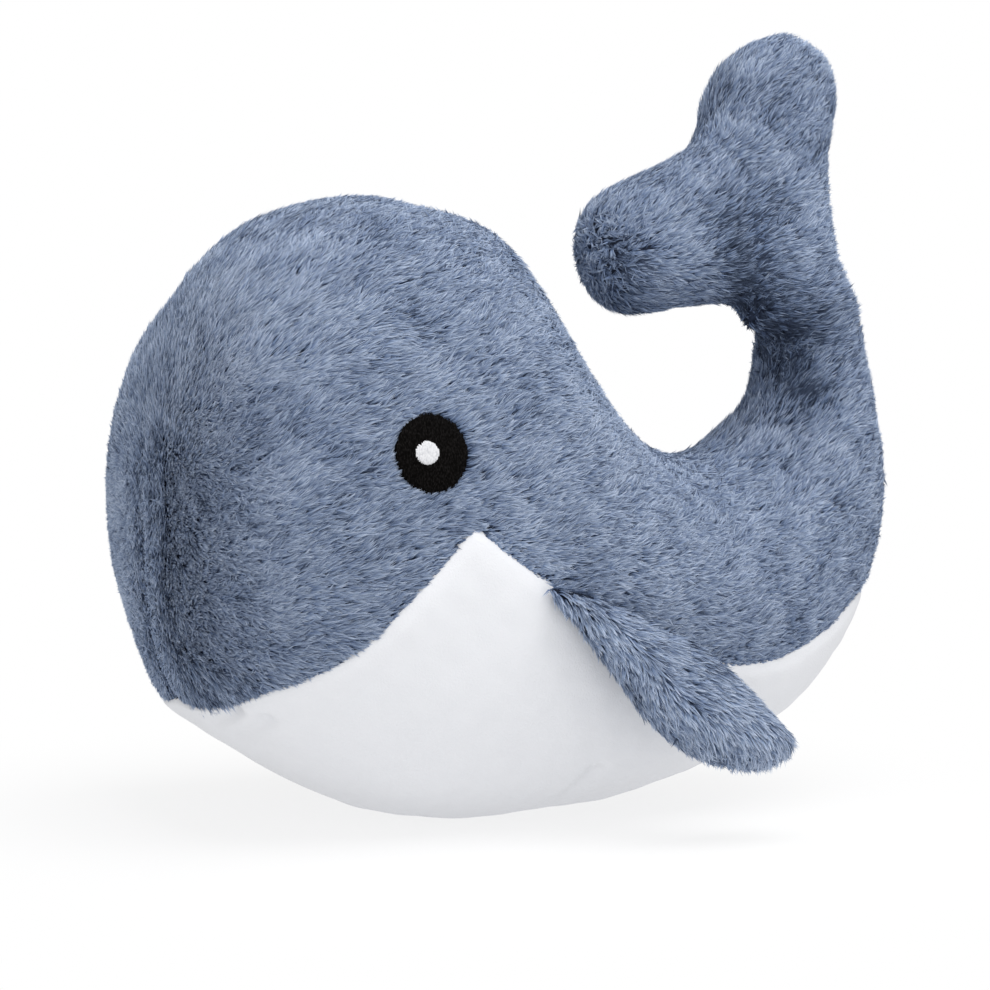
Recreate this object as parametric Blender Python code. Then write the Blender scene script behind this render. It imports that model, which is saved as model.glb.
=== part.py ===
"""A plush whale at its real size, built as the sewn toy is: cloth panels round loose fibre stuffing.

Metres, +Z up. The whale looks towards -X, its left side faces -Y, and it rests on its belly at Z = 0.

The trunk and the tail stalk are one surface, swept through rings from the tip of the snout to the
end of the stalk. A ring runs from a point on the back to a point on the belly, and place and angle
on that surface, (ring, turn), say where every panel, seam, eye and fin goes. The flukes and the two
fins are stuffed pads, each with an outline of its own, whose halves meet at an edge seam.
"""

import math

import bmesh
import bpy
import numpy as np
from mathutils import Matrix, Vector
from mathutils.bvhtree import BVHTree

# Cloth and sewing
PANEL_THICKNESS = 0.0020
SEAM_GAP = 0.0003
REST_CUT = 0.0005
OVERRUN = 0.010
MERGE_SHARE = 0.01

# Trunk
TRUNK_LENGTH = 0.250
TRUNK_HEIGHT = 0.197
TRUNK_WIDTH = 0.152

# Tail stalk, measured from the middle of the trunk's rear end
STALK_RISE = 0.066
STALK_DEPTH = 0.033
STALK_WIDTH = 0.040

# Flukes: a stuffed pad, turned flat side on and leaning to the right side
FLUKE_REACH = 0.075
FLUKE_THICKNESS = 0.030
FLUKE_FORWARD = 0.012
FLUKE_LIFT = 0.020
FLUKE_LEAN = math.radians(17.5)
FLUKE_EDGE = 0.0024

# Pectoral fins
FIN_LENGTH = 0.086
FIN_THICKNESS = 0.013
FIN_ROOT_TAPER = 0.030
FIN_OPEN = math.radians(25.0)
FIN_SLOPE = math.radians(12.0)
FIN_EDGE = 0.0022

# Embroidered eyes
EYE_DIAMETER = 0.0228
EYE_THICKNESS = 0.0008
HIGHLIGHT_DIAMETER = 0.0078
HIGHLIGHT_THICKNESS = 0.0006

# One row a ring: place along, height at the back, place along, height at the belly, half width.
# The first is the tip of the snout, and the last is the trunk's open rear end.
TRUNK_RING_SHARES = (
    (-0.398, 0.487, -0.398, 0.487, 0.000),
    (-0.396, 0.614, -0.394, 0.355, 0.434),
    (-0.382, 0.751, -0.372, 0.244, 0.724),
    (-0.340, 0.873, -0.320, 0.162, 0.895),
    (-0.252, 0.959, -0.240, 0.096, 0.980),
    (-0.132, 0.998, -0.136, 0.033, 1.000),
    (-0.016, 0.977, -0.032, 0.006, 0.993),
    (0.064, 0.904, 0.088, 0.008, 0.961),
    (0.124, 0.797, 0.200, 0.023, 0.895),
    (0.184, 0.695, 0.320, 0.063, 0.803),
    (0.244, 0.617, 0.440, 0.140, 0.697),
    (0.312, 0.584, 0.532, 0.254, 0.579),
    (0.368, 0.599, 0.588, 0.401, 0.461),
)
# One row a ring: place along, height, angle of the back point, depth, width.
STALK_RING_SHARES = (
    (0.115, 0.298, 0.867, 1.650, 1.400),
    (0.122, 0.664, 0.950, 1.200, 1.150),
    (0.069, 1.000, 1.039, 1.000, 1.000),
)
SQUARE_SHARE = 0.07
LOW_SHARE = 0.07
PROBE_SHARE = 0.01
KEEL_SAMPLES = 400

# Where the panels and the sleeves begin and end, as ring numbers
CHIN_RING = 2.45
TRUNK_END_RING = 12.0
ROOT_END_RING = 13.3
STALK_END_RING = 14.5
REST_RING = 6.35
TRUNK_ROWS = (0, 0.5, 1, 1.5, 2, CHIN_RING, 3, 3.6, 4.3, 5, 5.5, 5.9, REST_RING, 6.8, 7.4, 8.1, 8.8, 9.5,
              10.2, 10.8, 11.4, TRUNK_END_RING)
# Ring number, and the belly panel's half turn as a share of a half circle
BELLY_EDGE_SHARES = (
    (CHIN_RING, 0.0), (3, 0.228), (3.6, 0.294), (4.3, 0.367), (5, 0.456), (5.5, 0.511), (6, 0.489),
    (6.7, 0.467), (7.4, 0.453), (8.1, 0.442), (8.8, 0.422), (9.5, 0.400), (10.2, 0.367),
    (10.8, 0.328), (11.4, 0.256), (TRUNK_END_RING, 0.0),
)
PANEL_COLUMNS = 10
BELLY_COLUMNS = 5
KEEL_COLUMN_SHARE = 0.055
SLEEVE_COLUMNS = 20
SLEEVE_ROWS = 4
STALK_COLUMNS = 8

# The flukes' outline round their middle, towards the rear and up the leaning plane.
# It runs up the far lobe's outer side, round its tip, by the notch, round the near lobe and back.
FLUKE_OUTLINE_SHARES = (
    (0.373, -0.42), (0.365, -0.06), (0.357, 0.12), (0.362, 0.28), (0.400, 0.45), (0.455, 0.62),
    (0.480, 0.77), (0.430, 0.92), (0.260, 1.000), (0.085, 0.950), (-0.075, 0.835), (-0.160, 0.690),
    (-0.200, 0.550), (-0.275, 0.425), (-0.420, 0.340), (-0.600, 0.265), (-0.780, 0.185),
    (-0.885, 0.050), (-0.895, -0.120), (-0.830, -0.260), (-0.700, -0.330), (-0.540, -0.318),
    (-0.400, -0.282), (-0.265, -0.275), (-0.165, -0.305), (-0.110, -0.42),
)
# Two points of the line where the flukes are gathered on to the stalk, and the notch between them
WAIST_FRONT_SHARE = (-0.160, -0.320)
WAIST_REAR_SHARE = (0.375, -0.020)
NOTCH_SHARE = (-0.275, 0.425)
WAIST_FULLNESS_SHARE = 0.90
WAIST_DEPTH_SHARE = 0.92
FLUKE_FULLNESS = 3.0
FLUKE_RINGS = 4
FLUKE_POINTS = 34

# A fin's outline: along its root seam from the front end, and away from the seam
FIN_OUTLINE_SHARES = (
    (0.015, 0.010), (0.110, 0.004), (0.205, 0.012), (0.400, 0.064), (0.590, 0.098), (0.730, 0.172),
    (0.820, 0.235), (0.905, 0.300), (0.985, 0.370), (0.985, 0.430), (0.905, 0.490), (0.800, 0.515),
    (0.650, 0.512), (0.520, 0.468), (0.415, 0.402), (0.325, 0.315), (0.225, 0.222), (0.125, 0.130),
    (0.030, 0.050),
)
FIN_MIDDLE_SHARE = (0.55, 0.27)
FIN_ROOT_RING = 6.35
FIN_FULLNESS = 2.6
FIN_RINGS = 4
FIN_POINTS = 24

EYE_RING = 5.0
EYE_TURN_SHARE = 0.429
EYE_RINGS = 3
EYE_POINTS = 20
HIGHLIGHT_SHIFT_SHARE = (-0.045, 0.045)
HIGHLIGHT_RINGS = 2
HIGHLIGHT_POINTS = 12

BLUE_FUR = (0.162, 0.231, 0.386)
WHITE_PLUSH = (0.775, 0.783, 0.807)
BLACK_THREAD = (0.008, 0.006, 0.005)
WHITE_THREAD = (0.760, 0.760, 0.775)
WHITE_FIBRE = (0.850, 0.850, 0.850)
FUR_ROUGHNESS = 0.95
PLUSH_ROUGHNESS = 0.90
THREAD_ROUGHNESS = 0.60
FIBRE_ROUGHNESS = 1.00


def clear_scene():
    for thing in list(bpy.data.objects):
        bpy.data.objects.remove(thing, do_unlink=True)


def material(name, colour, roughness):
    made = bpy.data.materials.new(name)
    made.use_nodes = True
    shader = made.node_tree.nodes["Principled BSDF"]
    shader.inputs["Base Color"].default_value = (*colour, 1.0)
    shader.inputs["Roughness"].default_value = roughness
    shader.inputs["Metallic"].default_value = 0.0
    return made


def unit(vector):
    vector = np.asarray(vector, float)
    return vector / np.linalg.norm(vector)


def spline(rows, places):
    """Catmull-Rom curve through the rows, whose first and last are padding, at the given places."""
    places = np.asarray(places, float)
    first = np.clip(np.floor(places).astype(int), 0, len(rows) - 4)
    t = (places - first)[..., None]
    a, b, c, d = (rows[first + k] for k in range(4))
    return 0.5 * (2 * b + (c - a) * t + (2 * a - 5 * b + 4 * c - d) * t**2 + (3 * b - a - 3 * c + d) * t**3)


def closed_curve(points, count):
    """The given number of points on a smooth closed curve through an outline."""
    points = np.asarray(points, float)
    rows = np.vstack([points[-1:], points, points[:2]])
    return spline(rows, np.arange(count) * len(points) / count)


def ring_table():
    """Every ring as back point, belly point and half width, with a mirrored ring before the snout."""
    sizes = (TRUNK_LENGTH, TRUNK_HEIGHT, TRUNK_LENGTH, TRUNK_HEIGHT, TRUNK_WIDTH / 2)
    trunk = np.array(TRUNK_RING_SHARES) * sizes
    root = (trunk[-1, 0:2] + trunk[-1, 2:4]) / 2
    stalk = []
    for along, height, turn, depth, width in STALK_RING_SHARES:
        middle = root + (along * STALK_RISE, height * STALK_RISE)
        reach = depth * STALK_DEPTH / 2
        arm = reach * np.array((math.cos(turn * math.pi), math.sin(turn * math.pi)))
        stalk.append((*(middle + arm), *(middle - arm), width * STALK_WIDTH / 2))
    rings = np.vstack([trunk, stalk])
    before = rings[1, [2, 3, 0, 1, 4]] * (1, 1, 1, 1, -1)
    after = 2 * rings[-1] - rings[-2]
    return np.vstack([before, rings, after])


RINGS = ring_table()


def raw_surface(ring, turn):
    """Points of the swept skin. Turn 0 is the back, a quarter circle the left side, pi the belly.

    A ring is an ellipse made a little square, and its widest level lies a little below the middle.
    """
    ring, turn = np.broadcast_arrays(np.asarray(ring, float), np.asarray(turn, float))
    row = spline(RINGS, ring)
    back = np.stack([row[..., 0], 0 * ring, row[..., 1]], -1)
    belly = np.stack([row[..., 2], 0 * ring, row[..., 3]], -1)
    c, s = np.cos(turn), np.sin(turn)
    high = c * (1 + SQUARE_SHARE * s**2) - LOW_SHARE * s**2
    wide = s * (1 + SQUARE_SHARE * c**2)
    side = np.zeros_like(back)
    side[..., 1] = -row[..., 4]
    return (back + belly) / 2 + (back - belly) / 2 * high[..., None] + side * wide[..., None]


def lowest_point():
    """The belly's lowest point, which the origin lies above by the depth of the resting cut."""
    rings = np.linspace(CHIN_RING, TRUNK_END_RING, KEEL_SAMPLES)
    keel = raw_surface(rings, math.pi)
    return keel[np.argmin(keel[:, 2])] + (0, 0, REST_CUT)


ORIGIN = lowest_point()


def surface(ring, turn):
    return raw_surface(ring, turn) - ORIGIN


def outward(ring, turn):
    """Unit normals of the skin, from differences over a small step either way."""
    ring = np.maximum(np.asarray(ring, float), 3 * PROBE_SHARE)
    turn = np.asarray(turn, float)
    along = surface(ring + PROBE_SHARE, turn) - surface(ring - PROBE_SHARE, turn)
    round_it = surface(ring, turn + PROBE_SHARE) - surface(ring, turn - PROBE_SHARE)
    normal = np.cross(round_it, along)
    return normal / np.linalg.norm(normal, axis=-1)[..., None]


def skin(ring, turn, depth):
    """The skin moved inwards by a depth."""
    return surface(ring, turn) - depth * outward(ring, turn)


def ring_radius(ring):
    row = spline(RINGS, ring)
    return (np.hypot(row[..., 0] - row[..., 2], row[..., 1] - row[..., 3]) / 2 + row[..., 4]) / 2


def belly_half_turn(ring):
    """Half the belly panel's turn at a ring, zero ahead of the chin."""
    rings, shares = np.array(BELLY_EDGE_SHARES).T
    return np.interp(ring, rings, shares, left=0.0, right=0.0) * math.pi


def belly_shares():
    """Columns across the belly from edge to edge, with two close to the keel for the flat it rests on."""
    side = np.linspace(1, 0, BELLY_COLUMNS + 1)[:-1]
    keel = [-KEEL_COLUMN_SHARE, KEEL_COLUMN_SHARE]
    return np.concatenate([-side, keel, side[::-1]])


def grid_faces(rows, columns, start, wrap=False, flip=False):
    """Quads of a grid of points numbered row by row."""
    faces = []
    last = columns if wrap else columns - 1
    for i in range(rows - 1):
        for j in range(last):
            k = (j + 1) % columns
            quad = [start + i * columns + j, start + i * columns + k,
                    start + (i + 1) * columns + k, start + (i + 1) * columns + j]
            faces.append(quad[::-1] if flip else quad)
    return faces


def mesh_object(name, points, faces, finish, cut=None):
    """One closed body: points that coincide are merged, and faces point out."""
    model = bmesh.new()
    vertices = [model.verts.new(point) for point in points]
    for face in faces:
        model.faces.new([vertices[k] for k in face])
    merge = SEAM_GAP * MERGE_SHARE
    bmesh.ops.remove_doubles(model, verts=model.verts, dist=merge)
    bmesh.ops.dissolve_degenerate(model, edges=model.edges, dist=merge)
    for plane_point, plane_normal in cut or ():
        slice_off(model, plane_point, plane_normal)
    bmesh.ops.triangulate(model, faces=model.faces)
    bmesh.ops.recalc_face_normals(model, faces=model.faces)
    mesh = bpy.data.meshes.new(name)
    model.to_mesh(mesh)
    model.free()
    mesh.shade_smooth()
    mesh.materials.append(finish)
    made = bpy.data.objects.new(name, mesh)
    bpy.context.scene.collection.objects.link(made)
    return made


def slice_off(model, point, normal):
    """Cut away what lies on the normal's side of a plane, and close the cut with flat faces."""
    geometry = list(model.verts) + list(model.edges) + list(model.faces)
    bmesh.ops.bisect_plane(model, geom=geometry, dist=SEAM_GAP * MERGE_SHARE / 10,
                           plane_co=Vector(point), plane_no=Vector(normal), clear_outer=True)
    rim = [edge for edge in model.edges if edge.is_boundary]
    if rim:
        bmesh.ops.holes_fill(model, edges=rim, sides=0)


def shell(name, outer, inner, finish, wrap=False, cut=None):
    """A closed body between two grids of points, with walls along their open edges."""
    rows, columns = outer.shape[:2]
    count = rows * columns
    points = np.vstack([outer.reshape(-1, 3), inner.reshape(-1, 3)])
    faces = grid_faces(rows, columns, 0, wrap) + grid_faces(rows, columns, count, wrap, True)
    around = list(range(columns)) + ([0] if wrap else [])
    for row, flip in ((0, True), (rows - 1, False)):
        for j, k in zip(around, around[1:]):
            quad = [row * columns + j, row * columns + k, count + row * columns + k, count + row * columns + j]
            faces.append(quad[::-1] if flip else quad)
    if not wrap:
        for column, flip in ((0, False), (columns - 1, True)):
            for i in range(rows - 1):
                a, b = i * columns + column, (i + 1) * columns + column
                quad = [a, b, count + b, count + a]
                faces.append(quad[::-1] if flip else quad)
    return mesh_object(name, points, faces, finish, cut)


def core(name, grid, finish, cut=None):
    """A closed body from a wrapped grid, with both ends closed by a fan."""
    rows, columns = grid.shape[:2]
    points = np.vstack([grid.reshape(-1, 3), grid[0].mean(0), grid[-1].mean(0)])
    faces = grid_faces(rows, columns, 0, True)
    for row, middle in ((0, rows * columns), (rows - 1, rows * columns + 1)):
        for j in range(columns):
            faces.append([row * columns + j, row * columns + (j + 1) % columns, middle])
    return mesh_object(name, points, faces, finish, cut)


def keep_to_left(points):
    """Hold a left panel clear of the middle seam by half its gap."""
    points[..., 1] = np.minimum(points[..., 1], -SEAM_GAP / 2)
    return points


def mirrored(made, name):
    """A copy on the other side of the middle plane, with its faces turned back outwards."""
    mesh = made.data.copy()
    mesh.name = name
    mesh.transform(Matrix.Scale(-1, 4, Vector((0, 1, 0))))
    mesh.flip_normals()
    copy = bpy.data.objects.new(name, mesh)
    bpy.context.scene.collection.objects.link(copy)
    return copy


def trunk_panels(fur, plush):
    """Two halves of the blue back, and the white belly between their lower edges."""
    rows = np.array(TRUNK_ROWS, float)
    rows[-1] -= SEAM_GAP / TRUNK_LENGTH
    edge_gap = SEAM_GAP / 2 / ring_radius(np.maximum(rows, 1))
    half = belly_half_turn(rows)
    share = np.linspace(0, 1, PANEL_COLUMNS + 1)
    turn = (math.pi - half - np.where(half > 0, edge_gap, 0))[:, None] * share
    ring = np.repeat(rows[:, None], PANEL_COLUMNS + 1, 1)
    outer = keep_to_left(skin(ring, turn, 0))
    inner = keep_to_left(skin(ring, turn, PANEL_THICKNESS))
    left = shell("back_left_panel", outer, inner, fur)
    right = mirrored(left, "back_right_panel")

    white = rows >= CHIN_RING
    rows, edge_gap, half = rows[white], edge_gap[white], half[white]
    rows[0] += SEAM_GAP / TRUNK_LENGTH
    share = belly_shares()
    turn = math.pi + np.maximum(half - edge_gap, 0)[:, None] * share
    ring = np.repeat(rows[:, None], len(share), 1)
    belly = shell("belly_panel", skin(ring, turn, 0), skin(ring, turn, PANEL_THICKNESS), plush,
                  cut=[((0, 0, 0), (0, 0, -1))])
    return left, right, belly


def trunk_stuffing(fibre):
    """The filling, whose columns lie under those of the panels, so that it stays inside them."""
    rows = np.array(TRUNK_ROWS[1:], float)
    rows[-1] -= SEAM_GAP / TRUNK_LENGTH
    half = belly_half_turn(rows)[:, None]
    back = (math.pi - half) * np.linspace(0, 1, PANEL_COLUMNS + 1)[:-1]
    belly = math.pi + half * belly_shares()[:-1]
    far = 2 * math.pi - (math.pi - half) * np.linspace(1, 0, PANEL_COLUMNS + 1)[:-1]
    turn = np.concatenate([back, belly, far], axis=1)
    ring = np.repeat(rows[:, None], turn.shape[1], 1)
    return core("trunk_stuffing", skin(ring, turn, PANEL_THICKNESS + 2 * SEAM_GAP), fibre)


def sleeve_rows(first, last, count):
    step = SEAM_GAP / STALK_DEPTH
    return np.linspace(first + step, last - step, count)


def tail_root(fur, fibre):
    """The stretch of sleeve and stuffing that gives when the tail bends."""
    rows = sleeve_rows(TRUNK_END_RING, ROOT_END_RING, SLEEVE_ROWS)
    turn = np.linspace(0, 2 * math.pi, SLEEVE_COLUMNS, endpoint=False)
    ring, turn = np.meshgrid(rows, turn, indexing="ij")
    sleeve = shell("tail_root_sleeve", skin(ring, turn, 0), skin(ring, turn, PANEL_THICKNESS), fur, wrap=True)
    filling = core("tail_root_stuffing", skin(ring, turn, PANEL_THICKNESS + SEAM_GAP), fibre)
    return sleeve, filling


def stalk(fur, fibre):
    """The stuffed tail stalk, two fur panels that meet along its back and its belly."""
    rows = sleeve_rows(ROOT_END_RING, STALK_END_RING, SLEEVE_ROWS)
    turn = np.linspace(0, math.pi, STALK_COLUMNS + 1)
    ring, turn = np.meshgrid(rows, turn, indexing="ij")
    outer = keep_to_left(skin(ring, turn, 0))
    inner = keep_to_left(skin(ring, turn, PANEL_THICKNESS))
    left = shell("tail_left_panel", outer, inner, fur)
    right = mirrored(left, "tail_right_panel")
    turn = np.linspace(0, 2 * math.pi, 2 * STALK_COLUMNS, endpoint=False)
    ring, turn = np.meshgrid(rows, turn, indexing="ij")
    filling = core("tail_stuffing", skin(ring, turn, PANEL_THICKNESS + 2 * SEAM_GAP), fibre)
    return left, right, filling


def fluke_frame():
    """Middle of the flukes, their rearward and upward directions, and the way that their front faces."""
    end = spline(RINGS, np.array(float(len(RINGS) - 3)))
    middle = np.array(((end[0] + end[2]) / 2 - FLUKE_FORWARD, 0, (end[1] + end[3]) / 2 + FLUKE_LIFT)) - ORIGIN
    rear = np.array((1.0, 0.0, 0.0))
    up = np.array((0.0, math.sin(FLUKE_LEAN), math.cos(FLUKE_LEAN)))
    return middle, rear, up, np.cross(rear, up)


def pad_halves(outline, middle, rings, half_thickness, edge, fullness, taper=None):
    """Heights over a pad's mid plane on scaled copies of its outline.

    Copy r of the outline, from 0 at the middle to 1 at the edge, stands edge + (half thickness -
    edge) * sqrt(1 - r ** fullness) high. The copies lie closer together towards the edge, where the
    pad rounds off. A taper scales the height with the place, for a pad that thins towards its root.
    """
    scale = np.sin(np.linspace(0, math.pi / 2, rings + 1))[:, None]
    flat = middle + scale[..., None] * (outline - middle)
    rise = np.sqrt(np.maximum(1 - scale**fullness, 0))
    low, high = edge / 2, half_thickness - edge / 2
    height = low + high * rise * (taper(flat) if taper else 1.0)
    return flat, height


def pad_panels(names, outline, middle, frame, sizes, finishes, taper=None, cuts=((),)):
    """Front panel, back panel and stuffing of a pad, once for each set of cutting planes."""
    rings, thickness, edge, fullness = sizes
    flat, height = pad_halves(outline, middle, rings, thickness / 2, edge, fullness, taper)
    origin, first, second, normal = frame
    base = origin + flat[..., 0:1] * first + flat[..., 1:2] * second
    floor = np.full_like(height, SEAM_GAP / 2)
    under = np.maximum(height - PANEL_THICKNESS, floor)
    fur, fibre = finishes
    made = []
    for (front, back, filling), cut in zip(names, cuts):
        for name, side in ((front, 1), (back, -1)):
            outer = base + side * height[..., None] * normal
            inner = base + side * under[..., None] * normal
            made.append(shell(name, outer, inner, fur, wrap=True, cut=cut))
        full = height - PANEL_THICKNESS - SEAM_GAP
        keep = full.min(1) > SEAM_GAP
        top = base[keep] + full[keep][..., None] * normal
        bottom = base[keep] - full[keep][..., None] * normal
        grid = np.concatenate([top, bottom[::-1]])
        made.append(core(filling, grid, fibre, cut=cut))
    return made


def in_plane(frame, share, size):
    origin, first, second, _ = frame
    return origin + share[0] * size * first + share[1] * size * second


def waist_line():
    """Middle of the gather between stalk and flukes, the line's direction and the way to the stalk."""
    frame = fluke_frame()
    front = in_plane(frame, WAIST_FRONT_SHARE, FLUKE_REACH)
    rear = in_plane(frame, WAIST_REAR_SHARE, FLUKE_REACH)
    along = unit(rear - front)
    return (front + rear) / 2, along, unit(np.cross(along, frame[3])), np.linalg.norm(rear - front)


def flukes(fur, fibre):
    """Two lobes of one pad, parted at a line through the notch and cut off square at the waist."""
    frame = fluke_frame()
    outline = closed_curve(np.array(FLUKE_OUTLINE_SHARES) * FLUKE_REACH, FLUKE_POINTS)
    waist, _, to_stalk, _ = waist_line()
    notch = in_plane(frame, NOTCH_SHARE, FLUKE_REACH)
    parting = unit(np.cross(waist - notch, frame[3]))
    if parting @ frame[1] > 0:
        parting = -parting
    gap = SEAM_GAP / 2
    at_waist = (tuple(waist - gap * to_stalk), tuple(to_stalk))
    near = [at_waist, (tuple(waist + gap * parting), tuple(-parting))]
    far = [at_waist, (tuple(waist - gap * parting), tuple(parting))]
    names = [("fluke_left_front_panel", "fluke_left_back_panel", "fluke_left_stuffing"),
             ("fluke_right_front_panel", "fluke_right_back_panel", "fluke_right_stuffing")]
    sizes = (FLUKE_RINGS, FLUKE_THICKNESS, FLUKE_EDGE, FLUKE_FULLNESS)
    return pad_panels(names, outline, np.zeros(2), frame, sizes, (fur, fibre), cuts=[near, far])


def waist(fur, fibre):
    """The gathered sleeve that joins the round end of the stalk to the flat root of the flukes."""
    turn = np.linspace(0, 2 * math.pi, SLEEVE_COLUMNS, endpoint=False)
    start = STALK_END_RING + SEAM_GAP / STALK_DEPTH
    below = surface(start, turn)
    middle, along, to_stalk, length = waist_line()
    normal = fluke_frame()[3]
    heading = unit(surface(STALK_END_RING, turn).mean(0) - surface(ROOT_END_RING, turn).mean(0))
    centre = below.mean(0)
    above_centre = middle + SEAM_GAP * to_stalk
    reach = np.linalg.norm(above_centre - centre)
    depth = length / 2 * WAIST_DEPTH_SHARE
    swell = FLUKE_THICKNESS / 2 * WAIST_FULLNESS_SHARE
    above = -np.cos(turn)[:, None] * along * depth + np.sin(turn)[:, None] * normal * swell
    t = np.linspace(0, 1, SLEEVE_ROWS)[:, None]
    first, second = t * (1 - t) ** 2 * reach, t**2 * (1 - t) * reach
    blend = t * t * (3 - 2 * t)
    line = centre * (1 - blend) + above_centre * blend + first * heading + second * to_stalk

    def loft(depth_in):
        lower = below - centre
        lower = lower * (1 - depth_in / np.linalg.norm(lower, axis=1))[:, None]
        upper = above * (1 - depth_in / np.linalg.norm(above, axis=1))[:, None]
        return line[:, None] + lower[None] * (1 - t)[..., None] + upper[None] * t[..., None]

    sleeve = shell("fluke_waist_sleeve", loft(0), loft(PANEL_THICKNESS), fur, wrap=True)
    filling = core("fluke_waist_stuffing", loft(PANEL_THICKNESS + SEAM_GAP), fibre)
    return sleeve, filling


def fin_frame():
    """Front end of the left fin's root seam, the way along it, the way down the fin, and its normal."""
    turn = math.pi - belly_half_turn(FIN_ROOT_RING)
    seat = surface(FIN_ROOT_RING, turn)
    normal = outward(FIN_ROOT_RING, turn)
    level = unit(np.cross(normal, (0, 0, 1)))
    if level[0] < 0:
        level = -level
    down = unit(np.cross(level, normal))
    if down[2] > 0:
        down = -down
    along = math.cos(FIN_SLOPE) * level + math.sin(FIN_SLOPE) * down
    across = math.cos(FIN_SLOPE) * down - math.sin(FIN_SLOPE) * level
    away = math.cos(FIN_OPEN) * across + math.sin(FIN_OPEN) * normal
    origin = seat + (FIN_EDGE / 2 + SEAM_GAP) * normal
    return origin, along, away, unit(np.cross(along, away))


def fin_taper(flat):
    """One over most of the fin, and thinner towards the root seam."""
    return np.sqrt(np.clip(flat[..., 1] / FIN_ROOT_TAPER, 0, 1))


def fin(fur, fibre):
    """A stuffed leaf, two fur panels sewn round the edge, hung from the seam between blue and white."""
    frame = fin_frame()
    if frame[3][1] > 0:
        frame = (*frame[:3], -frame[3])
    outline = closed_curve(np.array(FIN_OUTLINE_SHARES) * FIN_LENGTH, FIN_POINTS)
    middle = np.array(FIN_MIDDLE_SHARE) * FIN_LENGTH
    names = [("fin_left_outer_panel", "fin_left_inner_panel", "fin_left_stuffing")]
    sizes = (FIN_RINGS, FIN_THICKNESS, FIN_EDGE, FIN_FULLNESS)
    left = pad_panels(names, outline, middle, frame, sizes, (fur, fibre), taper=fin_taper)
    right = [mirrored(made, made.name.replace("left", "right")) for made in left]
    return left, right


def patch(name, ground, centre, normal, sizes, lift, finish):
    """A thin round patch of stitching that follows the panel it is sewn on."""
    radius, thickness, rings, count = sizes
    tree = BVHTree.FromPolygons([v.co for v in ground.data.vertices],
                                [tuple(p.vertices) for p in ground.data.polygons])
    level = unit(np.cross((0, 0, 1), normal))
    upright = unit(np.cross(normal, level))
    turn = np.linspace(0, 2 * math.pi, count, endpoint=False)
    scale = np.linspace(0, 1, rings + 1)
    flat = np.stack([np.outer(scale, np.cos(turn)), np.outer(scale, np.sin(turn))], -1) * radius
    points = centre + flat[..., 0:1] * level + flat[..., 1:2] * upright + OVERRUN * normal
    seats = np.array([tree.ray_cast(Vector(p), Vector(-normal))[0] for p in points.reshape(-1, 3)])
    seats = seats.reshape(points.shape)
    return shell(name, seats + (lift + thickness) * normal, seats + lift * normal, finish, wrap=True)


def eyes(ground, black, white):
    """A black disc and a white highlight on each side of the head."""
    turn = EYE_TURN_SHARE * math.pi
    centre, normal = surface(EYE_RING, turn), outward(EYE_RING, turn)
    sizes = (EYE_DIAMETER / 2, EYE_THICKNESS, EYE_RINGS, EYE_POINTS)
    disc = patch("eye_left_disc", ground, centre, normal, sizes, SEAM_GAP, black)
    level = unit(np.cross((0, 0, 1), normal))
    shift = HIGHLIGHT_SHIFT_SHARE[0] * EYE_DIAMETER * level
    shift = shift + HIGHLIGHT_SHIFT_SHARE[1] * EYE_DIAMETER * np.cross(normal, level)
    sizes = (HIGHLIGHT_DIAMETER / 2, HIGHLIGHT_THICKNESS, HIGHLIGHT_RINGS, HIGHLIGHT_POINTS)
    lift = SEAM_GAP + EYE_THICKNESS + SEAM_GAP
    light = patch("eye_left_highlight", ground, centre + shift, normal, sizes, lift, white)
    return disc, light, mirrored(disc, "eye_right_disc"), mirrored(light, "eye_right_highlight")


def hang_on(name, place, axis, pieces, carrier=None):
    """An empty on a joint's axis, which carries the pieces that move with it.

    The pieces' own origins move on to the axis too. A carrier is the empty of the joint before it.
    """
    joint = bpy.data.objects.new(name, None)
    bpy.context.scene.collection.objects.link(joint)
    joint.parent = carrier
    base = Vector(carrier["place"]) if carrier else Vector((0, 0, 0))
    joint["place"] = tuple(float(value) for value in place)
    joint.location = Vector(joint["place"]) - base
    for piece in pieces:
        piece.data.transform(Matrix.Translation(-Vector(joint["place"])))
        piece.parent = joint
    print(name, "at", np.round(place, 5), "axis", np.round(axis, 5))
    return joint


def joints(tail, lobes, left_fin, right_fin):
    """The tail bends at its root, the flukes nod at the waist, and the fins swing at their seams."""
    turn = np.linspace(0, 2 * math.pi, SLEEVE_COLUMNS, endpoint=False)
    root = surface((TRUNK_END_RING + ROOT_END_RING) / 2, turn).mean(0)
    bend = hang_on("tail_bend", root, (0, 1, 0), tail)
    middle, along, _, _ = waist_line()
    hang_on("fluke_nod", middle, along, lobes, bend)
    seat, seam, _, _ = fin_frame()
    far_side = np.array((1, -1, 1))
    hang_on("fin_left_flap", seat, -seam, left_fin)
    hang_on("fin_right_flap", seat * far_side, seam * far_side, right_fin)


def main():
    clear_scene()
    fur = material("blue_fur", BLUE_FUR, FUR_ROUGHNESS)
    plush = material("white_plush", WHITE_PLUSH, PLUSH_ROUGHNESS)
    black = material("black_thread", BLACK_THREAD, THREAD_ROUGHNESS)
    white = material("white_thread", WHITE_THREAD, THREAD_ROUGHNESS)
    fibre = material("white_fibre", WHITE_FIBRE, FIBRE_ROUGHNESS)
    left, _, _ = trunk_panels(fur, plush)
    trunk_stuffing(fibre)
    eyes(left, black, white)
    tail_root(fur, fibre)
    tail = [*stalk(fur, fibre), *waist(fur, fibre)]
    lobes = flukes(fur, fibre)
    left_fin, right_fin = fin(fur, fibre)
    joints(tail, lobes, left_fin, right_fin)


main()
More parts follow.
